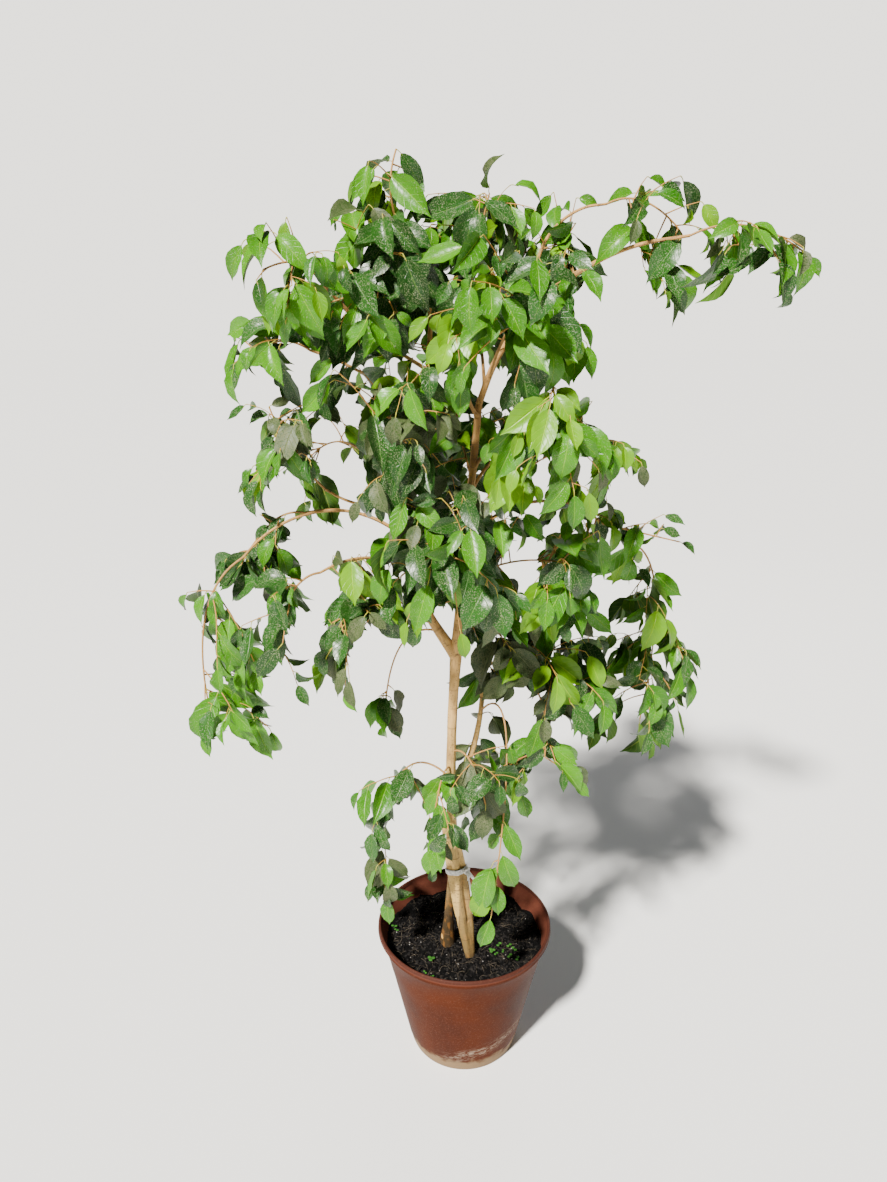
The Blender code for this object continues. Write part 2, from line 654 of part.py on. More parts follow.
def turned(profile, sides=ROUND_SIDES):
    """A closed solid of revolution about Z from (radius, height) points that start and end on the axis."""
    bm = bmesh.new()
    rings = []
    for radius, height in profile:
        if radius < 1e-6:
            rings.append([bm.verts.new((0.0, 0.0, height))])
            continue
        rings.append([bm.verts.new((radius * math.cos(2 * math.pi * side / sides),
                                    radius * math.sin(2 * math.pi * side / sides), height))
                      for side in range(sides)])
    for lower, upper in zip(rings, rings[1:]):
        for side in range(sides):
            following = (side + 1) % sides
            corners = [lower[side % len(lower)], lower[following % len(lower)],
                       upper[following % len(upper)], upper[side % len(upper)]]
            bm.faces.new(list(dict.fromkeys(corners)))
    return bm


def tube(points, radii, sides, first=None):
    """A closed tube of rings along a centreline, each ring square to the path."""
    bm = bmesh.new()
    tangents = [Vector(points[1] - points[0]) if first is None else Vector(first)]
    for index in range(1, len(points)):
        following = points[min(index + 1, len(points) - 1)]
        tangents.append(Vector(following - points[index - 1]))
    tangents = [tangent.normalized() for tangent in tangents]
    across = tangents[0].orthogonal().normalized()
    rings = []
    for point, radius, tangent in zip(points, radii, tangents):
        across = (across - tangent * across.dot(tangent)).normalized()
        upward = tangent.cross(across)
        rings.append([bm.verts.new(Vector(point)
                                   + across * radius * math.cos(2 * math.pi * side / sides)
                                   + upward * radius * math.sin(2 * math.pi * side / sides))
                      for side in range(sides)])
    for lower, upper in zip(rings, rings[1:]):
        for side in range(sides):
            following = (side + 1) % sides
            bm.faces.new((lower[side], lower[following], upper[following], upper[side]))
    bm.faces.new(list(reversed(rings[0])))
    bm.faces.new(rings[-1])
    return bm


def pot_radius(height):
    """The outer radius of the pot wall above its foot band."""
    flare = max(0.0, (height - POT_FLARE_START) / (POT_HEIGHT - POT_RIM_HEIGHT - POT_FLARE_START))
    return POT_BODY_RADIUS + POT_TAPER * (height - POT_BAND_HEIGHT) + POT_FLARE * flare ** POT_FLARE_POWER


def inner_radius(height):
    """The inner radius of the pot wall at a height, with a rounded corner at the floor."""
    if height < POT_BAND_HEIGHT:
        share = (height - POT_FLOOR) / (POT_BAND_HEIGHT - POT_FLOOR)
        low = POT_FOOT_RADIUS - POT_WALL - 0.001
        return low + (pot_radius(POT_BAND_HEIGHT) - POT_WALL - low) * math.sqrt(max(0.0, share))
    return pot_radius(height) - POT_WALL


def pot_profile():
    """The outline of the pot: underside, foot band, wall, rolled rim, inside wall and floor."""
    top = POT_HEIGHT - POT_RIM_HEIGHT
    band = POT_BODY_RADIUS - POT_BAND_STEP
    outline = [(0.0, 0.0), (POT_FOOT_RADIUS - 0.002, 0.0), (POT_FOOT_RADIUS, 0.0015),
               (POT_FOOT_RADIUS + (band - POT_FOOT_RADIUS) * 0.8, POT_BAND_HEIGHT * 0.5),
               (band, POT_BAND_HEIGHT - 0.0015), (POT_BODY_RADIUS, POT_BAND_HEIGHT)]
    outline += [(pot_radius(height), height) for height in (0.115, POT_FLARE_START, 0.228, 0.248, top)]
    outline += [(POT_RIM_RADIUS, top + 0.003), (POT_RIM_RADIUS, POT_HEIGHT - 0.002),
                (POT_RIM_RADIUS - 0.002, POT_HEIGHT), (POT_RIM_RADIUS - 0.004, POT_HEIGHT - 0.002)]
    outline += [(inner_radius(height), height) for height in (top, 0.248, SOIL_TOP, POT_FLARE_START)]
    outline += [(inner_radius(height), height) for height in (POT_BAND_HEIGHT, 0.010, POT_FLOOR)]
    return outline + [(0.0, POT_FLOOR)]


def build_pot(material):
    """The pot: one turned shell, open at the top."""
    return add_object("pot", turned(pot_profile()), material, 50.0)


def soil_height(x, y):
    """The height of the soil: gentle clods, level where the stems stand."""
    clods = math.sin(61 * x + 1.3) * math.cos(53 * y) + 0.6 * math.sin(97 * x - 71 * y)
    from_seat = math.hypot(x, y - SOIL_SEAT_Y) - SOIL_SEAT_RADIUS
    share = min(1.0, max(0.0, from_seat / 0.03))
    return SOIL_TOP + SOIL_CLOD * share * clods / 1.6


def build_soil(material):
    """The soil: a plug that fills the pot, clear of its wall and floor."""
    profile = [(0.0, POT_FLOOR + GAP), (inner_radius(POT_FLOOR) - GAP * 2, POT_FLOOR + GAP)]
    heights = (0.010, POT_BAND_HEIGHT, POT_FLARE_START)
    profile += [(inner_radius(height) - GAP * 1.5, height) for height in heights]
    edge = inner_radius(SOIL_TOP) - GAP * 3
    profile += [(edge * (1.0 - ring / SOIL_RINGS), SOIL_TOP) for ring in range(SOIL_RINGS)]
    profile += [(0.0, SOIL_TOP)]
    bm = turned(profile)
    for vert in bm.verts:
        away = math.hypot(vert.co.x, vert.co.y)
        if vert.co.z > SOIL_TOP - 1e-6 and away < edge - 1e-4:
            vert.co.z = soil_height(vert.co.x, vert.co.y)
    return add_object("soil", bm, material, 60.0)


def with_boolean(target, operation, solver="EXACT", other=None, collection=None):
    """The target's mesh after one Boolean, applied."""
    modifier = target.modifiers.new("join", "BOOLEAN")
    modifier.operation = operation
    modifier.solver = solver
    if collection is None:
        modifier.object = other
    else:
        modifier.operand_type = "COLLECTION"
        modifier.collection = collection
    graph = bpy.context.evaluated_depsgraph_get()
    result = bpy.data.meshes.new_from_object(target.evaluated_get(graph))
    target.modifiers.clear()
    old = target.data
    target.data = result
    bpy.data.meshes.remove(old)


def fuse(target, pieces):
    """Joins the pieces to the target by one union on a collection, then removes them."""
    collection = bpy.data.collections.new("pieces")
    bpy.context.scene.collection.children.link(collection)
    for piece in pieces:
        bpy.context.scene.collection.objects.unlink(piece)
        collection.objects.link(piece)
    with_boolean(target, "UNION", collection=collection)
    for piece in pieces:
        bpy.data.objects.remove(piece)
    bpy.data.collections.remove(collection)
    keep_main_body(target.data)


def without_slivers(mesh):
    """A mesh with its slivers merged, as far as that leaves it closed."""
    for distance in (MERGE, MERGE / 4, 0.0):
        bm = bmesh.new()
        bm.from_mesh(mesh)
        bmesh.ops.dissolve_degenerate(bm, dist=distance, edges=bm.edges)
        if all(len(edge.link_faces) == 2 for edge in bm.edges):
            break
    return bm


def keep_main_body(mesh):
    """Drops slivers, loose scraps and sealed hollows, so one closed body is left."""
    bm = without_slivers(mesh)
    seen, bodies = set(), []
    for face in bm.faces:
        if face in seen:
            continue
        body, border = {face}, [face]
        while border:
            edges = {edge for item in border for edge in item.edges}
            border = list({item for edge in edges for item in edge.link_faces if item not in body})
            body.update(border)
        seen |= body
        bodies.append(body)
    main = max(bodies, key=len)
    bmesh.ops.delete(bm, geom=[face for face in bm.faces if face not in main], context="FACES")
    bmesh.ops.delete(bm, geom=[vert for vert in bm.verts if not vert.link_faces], context="VERTS")
    bm.to_mesh(mesh)
    bm.free()


def cut_clear(target, path, sides, first=None):
    """Cuts a target back to the clearance from a limb, with a slightly fatter copy of that limb."""
    wider = path.radii + GAP / math.cos(math.pi / sides)
    cutter = add_object("cutter", tube(path.points, wider, sides, first), target.data.materials[0])
    with_boolean(target, "DIFFERENCE", other=cutter)
    bpy.data.objects.remove(cutter)
    keep_main_body(target.data)


def sides_of(name):
    """How many sides a limb's tube has."""
    return TRUNK_SIDES if name in ("trunk", "left_stem", "long_limb") else BOUGH_SIDES


def build_trunk(trunk, material):
    """The trunk: the main stem fused with two legs and a sawn stub, cut level at the soil."""
    above = trunk.points[:, 2] - trunk.points[0, 2]
    radii = trunk.radii * flare(above, FRONT_FLARE)
    points = np.concatenate([[trunk.points[0] - trunk.first * CUT_DEPTH], trunk.points])
    target = add_object("trunk", tube(points, np.concatenate([radii[:1], radii]), TRUNK_SIDES), material)
    fuse(target, [add_object("leg", tube(leg.points, leg.radii, BOUGH_SIDES), material)
                  for leg in bundle(trunk)])
    bm = bmesh.new()
    bm.from_mesh(target.data)
    cut = (0.0, 0.0, SOIL_TOP + GAP)
    everything = bm.verts[:] + bm.edges[:] + bm.faces[:]
    sliced = bmesh.ops.bisect_plane(bm, geom=everything, plane_co=cut, plane_no=(0, 0, 1), clear_inner=True)
    rims = [item for item in sliced["geom_cut"] if isinstance(item, bmesh.types.BMEdge)]
    bmesh.ops.holes_fill(bm, edges=rims, sides=0)
    bm.to_mesh(target.data)
    bm.free()
    return target


def tie_ring(trunk, height, swell):
    """The corners of the tie at a height: the outline of the stretched band round the bundle."""
    stems = [(at_height(path.points, height), np.interp(height, path.points[:, 2], path.radii))
             for path in [trunk, *bundle(trunk)]]
    corners = []
    for index in range(TIE_POINTS):
        angle = 2.0 * math.pi * index / TIE_POINTS
        outward = np.array((math.cos(angle), math.sin(angle), 0.0))
        middle, radius = max(stems, key=lambda stem: stem[0] @ outward + stem[1])
        corners.append(middle + outward * (radius + swell))
    return corners


def build_tie(trunk, material):
    """The tie: a soft band stretched round the bundle, with a knot and two hanging ends."""
    inside, outside = GAP * 2, GAP * 2 + TIE_THICK
    levels = (TIE_HEIGHT - TIE_WIDTH / 2, TIE_HEIGHT + TIE_WIDTH / 2)
    loops = [(levels[0], inside), (levels[0], outside), (levels[1], outside), (levels[1], inside)]
    bm = bmesh.new()
    rings = [[bm.verts.new(corner) for corner in tie_ring(trunk, *loop)] for loop in loops]
    for ring, following in zip(rings, rings[1:] + rings[:1]):
        for index in range(TIE_POINTS):
            after = (index + 1) % TIE_POINTS
            bm.faces.new((ring[index], ring[after], following[after], following[index]))
    target = add_object("tie", bm, material)
    corner = tie_ring(trunk, TIE_HEIGHT, outside)[round(KNOT_SIDE / (2.0 * math.pi) * TIE_POINTS)]
    outward = np.array((math.cos(KNOT_SIDE), math.sin(KNOT_SIDE), 0.0))
    knot = [corner - outward * TIE_THICK * 0.4, corner + outward * KNOT_SIZE]
    pieces = [add_object("knot", tube(np.array(knot), np.full(2, KNOT_SIZE), BOUGH_SIDES), material)]
    for side, length in ((1.0, TIE_TAIL), (0.2, TIE_TAIL * 0.6)):
        lean = np.array((side, -0.15, -1.0))
        ends = np.array([knot[1] - outward * KNOT_SIZE * 0.5, knot[1] + unit(lean) * length])
        pieces.append(add_object("end", tube(ends, np.full(2, TIE_WIDTH * 0.25), BOUGH_SIDES), material))
    fuse(target, pieces)
    return target


def build_limb(limb, limbs, material):
    """A bough or side stem, cut back from whatever limbs its foot grows out of."""
    path = limbs[limb.name]
    target = add_object(limb.name, tube(path.points, path.radii, sides_of(limb.name), path.first), material)
    if limb.at < 1.0:
        cut_clear(target, limbs[limb.parent], sides_of(limb.parent), limbs[limb.parent].first)
    return target


def leaf_mesh(leaf):
    """A flat four-faced leaf that folds back from its midrib, its root inside the twig."""
    bm = bmesh.new()
    outline = ((0.0, 0.0, 0.0), (LEAF_WIDEST, 0.5, -1.0), (1.0, 0.0, 0.0), (LEAF_WIDEST, -0.5, -1.0))
    corners = [leaf.root + leaf.axis * leaf.length * along + leaf.across * leaf.width * aside
               + leaf.normal * LEAF_FOLD * lift for along, aside, lift in outline]
    root, left, tip, right = [bm.verts.new(corner) for corner in corners]
    for corners in ((root, tip, left), (root, right, tip), (root, left, right), (tip, right, left)):
        bm.faces.new(corners)
    return bm


def build_mass(mass, twigs, leaves, limbs, material):
    """A mass of foliage: its stem with shoots and leaves fused on."""
    stem = twigs[0]
    target = add_object(mass.name, tube(stem.points, stem.radii, TWIG_SIDES, stem.first), material, 20.0)
    pieces = [add_object("shoot", tube(twig.points, twig.radii, TWIG_SIDES), material) for twig in twigs[1:]]
    pieces += [add_object("leaf", leaf_mesh(leaf), material) for leaf in leaves]
    fuse(target, pieces)
    if mass.at < 1.0:
        cut_clear(target, limbs[mass.parent], sides_of(mass.parent), limbs[mass.parent].first)
    return target


def main():
    """Builds the pot, the soil, the tie, the limbs and the masses."""
    for obj in list(bpy.data.objects):
        bpy.data.objects.remove(obj)
    bark = paint("bark", (0.52, 0.40, 0.26), 0.80)
    tints = {"young": paint("leaf_young", (0.22, 0.50, 0.05), 0.40),
             "fresh": paint("leaf_fresh", (0.09, 0.28, 0.05), 0.38),
             "dark": paint("leaf_dark", (0.04, 0.15, 0.05), 0.35),
             "dusty": paint("leaf_dusty", (0.16, 0.23, 0.14), 0.60)}
    build_pot(paint("pot_plastic", (0.37, 0.13, 0.07), 0.55))
    build_soil(paint("soil", (0.025, 0.022, 0.02), 0.95))
    limbs = plan_limbs()
    build_tie(limbs["trunk"], paint("tie_fabric", (0.55, 0.54, 0.50), 0.85))
    crown = Crown(limbs)
    for limb in LIMBS:
        if limb.name == "trunk":
            build_trunk(limbs["trunk"], bark)
        else:
            build_limb(limb, limbs, bark)
    for mass in MASSES:
        twigs, leaves = crown.grow(mass)
        build_mass(mass, twigs, leaves, limbs, tints[mass.tint])


if __name__ == "__main__":
    main()
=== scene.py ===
"""Looks of a weeping fig in its plastic pot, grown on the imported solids.

Metres, +Z up. The origin is the centre of the pot's flat underside, +X is to the viewer's right and
+Y is away from the viewer. The limbs and the masses of foliage follow the same named sizes and the
same seeded rule as the solids, carried on to finer twigs and to leaves at their real size.
"""

from __future__ import annotations

import json
import logging
import math
from dataclasses import dataclass, field
from enum import Enum
from typing import Any, Iterable, Sequence

import bpy
import numpy as np
from mathutils import Matrix, Vector, noise

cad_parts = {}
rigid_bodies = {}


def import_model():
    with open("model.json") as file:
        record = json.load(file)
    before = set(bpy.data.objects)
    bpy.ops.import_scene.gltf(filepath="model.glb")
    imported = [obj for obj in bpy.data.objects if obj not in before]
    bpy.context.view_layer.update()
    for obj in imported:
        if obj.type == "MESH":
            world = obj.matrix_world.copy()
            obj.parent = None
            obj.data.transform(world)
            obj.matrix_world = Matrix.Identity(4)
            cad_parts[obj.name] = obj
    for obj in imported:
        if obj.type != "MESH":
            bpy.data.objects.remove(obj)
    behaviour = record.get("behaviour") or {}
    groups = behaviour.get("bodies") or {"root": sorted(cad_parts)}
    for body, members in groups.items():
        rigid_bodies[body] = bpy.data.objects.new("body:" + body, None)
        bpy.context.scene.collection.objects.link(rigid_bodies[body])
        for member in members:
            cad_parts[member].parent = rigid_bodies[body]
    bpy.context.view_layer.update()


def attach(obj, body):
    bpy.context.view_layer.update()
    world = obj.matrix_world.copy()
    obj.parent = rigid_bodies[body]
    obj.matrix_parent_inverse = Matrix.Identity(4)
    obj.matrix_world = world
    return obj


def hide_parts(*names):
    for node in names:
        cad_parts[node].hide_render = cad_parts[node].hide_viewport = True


LOG = logging.getLogger("weeping_fig")
BODY = "root"

# Pot and soil, as in the solids.
POT_HEIGHT = 0.272
POT_FOOT_RADIUS = 0.105
POT_BAND_HEIGHT = 0.026
POT_BAND_STEP = 0.0015
POT_BODY_RADIUS = 0.112
POT_TAPER = 0.2126
POT_FLARE_START = 0.200
POT_FLARE = 0.0078
POT_FLARE_POWER = 2.5
POT_RIM_HEIGHT = 0.010
POT_RIM_RADIUS = 0.170
POT_WALL = 0.003
POT_FLOOR = 0.004
SOIL_TOP = 0.232
SOIL_CLOD = 0.004
SOIL_SEAT_RADIUS = 0.062
SOIL_SEAT_Y = -0.040

# Stems and the bundle at their foot.
TRUNK_FOOT = (0.008, -0.054)
FRONT_FLARE = (-0.30, 0.100)
REAR_FLARE = (0.50, 0.060)
CUT_DEPTH = 0.012
LIMB_STEPS = 6
TRUNK_STEPS = 15
RIGHT_LEG_FOOT = (0.016, -0.050)
RIGHT_LEG_BOW = 0.008
RIGHT_LEG_TOP = 0.545
REAR_LEG_FOOT = (-0.033, -0.010)
REAR_LEG_BOW = 0.003
REAR_LEG_TOP = 0.470
LEG_RADIUS = 0.0072
LEG_STEPS = 6
STUB_FOOT = 0.330
STUB_TOP = 0.560
STUB_OFFSET = (-0.0135, -0.002)
TIE_HEIGHT = 0.437
TIE_WIDTH = 0.011
TIE_TAIL = 0.030
TIE_ROOM = 0.027

# The rule for shoots and leaves.
STEM_BARE = 0.25
SHOOT_BARE = 0.22
TWIG_SKIN = 0.88
SHOOT_WEEP = 0.14
SHOOT_LONGEST = 0.140
SHOOT_STEPS = 5
SHOOT_TRIES = 10
STEM_STEPS = 10
STEM_RADIUS = 0.0019
SHOOT_RADIUS = 0.0013
TWIG_TIP = 0.0006
DOWN = np.array((0.0, 0.0, -1.0))
TOWARDS_LIGHT = np.array((0.0, -1.1, 0.55))
VIEW_POINT = np.array((-0.041, -1.418, 1.426))
WINDOWS = (
    (0.095, 1.004, 0.028, 0.040),
    (-0.232, 1.207, 0.024, 0.038),
    (0.092, 0.720, 0.022, 0.050),
    (-0.076, 0.730, 0.036, 0.130),
    (-0.285, 0.875, 0.026, 0.050),
    (-0.259, 1.050, 0.040, 0.028),
    (-0.305, 1.130, 0.030, 0.030),
    (0.258, 1.440, 0.022, 0.036),
    (0.183, 1.428, 0.020, 0.024),
    (0.343, 1.500, 0.022, 0.016),
    (0.179, 1.540, 0.020, 0.016),
    (0.263, 1.130, 0.028, 0.034),
    (0.124, 1.168, 0.010, 0.032),
    (-0.100, 0.482, 0.020, 0.055),
)
# Smaller gaps in the photograph, kept clear by the fine leaves only: X, Z, half width, half height.
FINE_WINDOWS = (
    (-0.161, 0.824, 0.050, 0.058), (0.433, 1.450, 0.040, 0.029), (-0.421, 0.626, 0.038, 0.058),
    (0.241, 1.259, 0.045, 0.036), (-0.489, 0.830, 0.036, 0.065), (-0.337, 0.761, 0.028, 0.045),
    (-0.401, 1.367, 0.020, 0.050), (-0.373, 1.209, 0.028, 0.041), (0.146, 0.577, 0.028, 0.055),
    (0.291, 1.558, 0.030, 0.018), (-0.338, 1.308, 0.025, 0.025), (-0.232, 1.530, 0.028, 0.021),
    (-0.191, 1.157, 0.022, 0.032), (0.287, 1.399, 0.014, 0.042), (0.199, 0.530, 0.022, 0.036),
    (0.331, 1.034, 0.036, 0.022), (-0.273, 1.344, 0.022, 0.023), (-0.352, 1.445, 0.017, 0.030),
    (-0.378, 1.065, 0.023, 0.020), (-0.181, 0.608, 0.022, 0.026), (0.245, 1.496, 0.018, 0.016),
    (-0.302, 1.482, 0.017, 0.027), (0.195, 1.164, 0.014, 0.024), (-0.193, 1.268, 0.016, 0.024),
    (-0.365, 0.935, 0.015, 0.025), (0.178, 0.685, 0.022, 0.020), (0.020, 1.335, 0.012, 0.020),
    (-0.132, 0.471, 0.012, 0.046), (0.297, 0.723, 0.015, 0.034), (-0.254, 0.967, 0.026, 0.034),
    (-0.042, 0.882, 0.025, 0.046),
)
SKY = np.array(WINDOWS + FINE_WINDOWS)
# Where the trunk shows between the leaves in front of it, in the same way, and how far it stands back.
VISTAS = np.array(((0.044, 1.339, 0.023, 0.028), (0.024, 1.292, 0.023, 0.032), (0.007, 1.236, 0.020, 0.039),
                   (0.003, 1.190, 0.017, 0.030), (-0.007, 0.381, 0.024, 0.030)))
TRUNK_BACK = -0.010


class Tint(Enum):
    """The four looks that a spray of leaves can have."""

    YOUNG = "young"
    FRESH = "fresh"
    DARK = "dark"
    DUSTY = "dusty"


@dataclass(frozen=True)
class Limb:
    """A tapering stem or bough: where it leaves its parent, which way, how far and how thick."""

    name: str
    parent: str
    at: float
    heading: float
    climb: float
    length: float
    droop: float
    turn: float
    thick: float
    thin: float
    ease: float = 1.0


@dataclass(frozen=True)
class Mass:
    """A mass of foliage: the limb that carries it, its own space, and where its stem ends in it."""

    name: str
    parent: str
    at: float
    tint: str
    shoots: int
    leaves: int
    centre: tuple
    reach: tuple
    end: tuple


LIMBS = (
    Limb("trunk", "", 0.0, 198, 79, 1.056, -28, 55, 0.0210, 0.0120),
    Limb("left_stem", "trunk", 0.60, 153, 43, 0.615, -62, 121, 0.0165, 0.0065, 3.0),
    Limb("right_stem", "trunk", 0.36, 51, 18, 0.260, -68, 17, 0.0120, 0.0080, 2.0),
    Limb("long_limb", "trunk", 1.00, -23, 74, 0.425, 71, 9, 0.0115, 0.0045),
    Limb("high_bough", "trunk", 0.98, 243, 32, 0.186, -86, -4, 0.0065, 0.0040),
    Limb("arched_bough", "long_limb", 0.44, -3, 114, 0.198, 115, -1, 0.0060, 0.0038),
    Limb("top_right_bough", "long_limb", 0.59, 94, 24, 0.078, -6, -12, 0.0048, 0.0038),
    Limb("upper_right_bough", "long_limb", 0.11, -80, 43, 0.141, 20, 1, 0.0056, 0.0040),
    Limb("top_left_bough", "left_stem", 0.93, 223, 87, 0.133, 43, -3, 0.0056, 0.0038),
    Limb("left_tip_bough", "left_stem", 0.80, 209, 28, 0.245, -11, 26, 0.0066, 0.0040),
    Limb("shoulder_bough", "left_stem", 0.67, 180, 47, 0.207, 30, 0, 0.0066, 0.0040),
    Limb("left_mid_bough", "left_stem", 0.46, 183, -19, 0.150, -55, -3, 0.0060, 0.0040),
    Limb("left_far_bough", "left_stem", 0.34, 185, 50, 0.190, 61, 6, 0.0072, 0.0044),
    Limb("left_outer_bough", "left_far_bough", 0.67, 203, 10, 0.185, 58, 4, 0.0052, 0.0038),
    Limb("left_near_bough", "left_stem", 0.24, 217, 48, 0.211, 66, 7, 0.0068, 0.0040),
    Limb("right_mid_bough", "trunk", 0.90, -7, 60, 0.196, 96, 3, 0.0062, 0.0038),
    Limb("right_front_bough", "long_limb", 0.23, -68, 35, 0.194, 87, -10, 0.0056, 0.0038),
    Limb("right_low_bough", "trunk", 0.78, 29, 50, 0.286, 92, -21, 0.0074, 0.0042),
    Limb("right_drop_bough", "right_low_bough", 0.86, 35, -14, 0.152, 34, 0, 0.0048, 0.0038),
    Limb("low_right_bough", "right_stem", 0.82, -28, 87, 0.154, 157, -18, 0.0052, 0.0038),
    Limb("back_left_bough", "left_stem", 0.50, 120, 35, 0.190, 45, 10, 0.0064, 0.0040),
    Limb("back_right_bough", "trunk", 0.86, 60, 45, 0.200, 60, -10, 0.0064, 0.0040),
    Limb("back_top_bough", "long_limb", 0.06, 95, 65, 0.190, 60, 0, 0.0060, 0.0040),
)

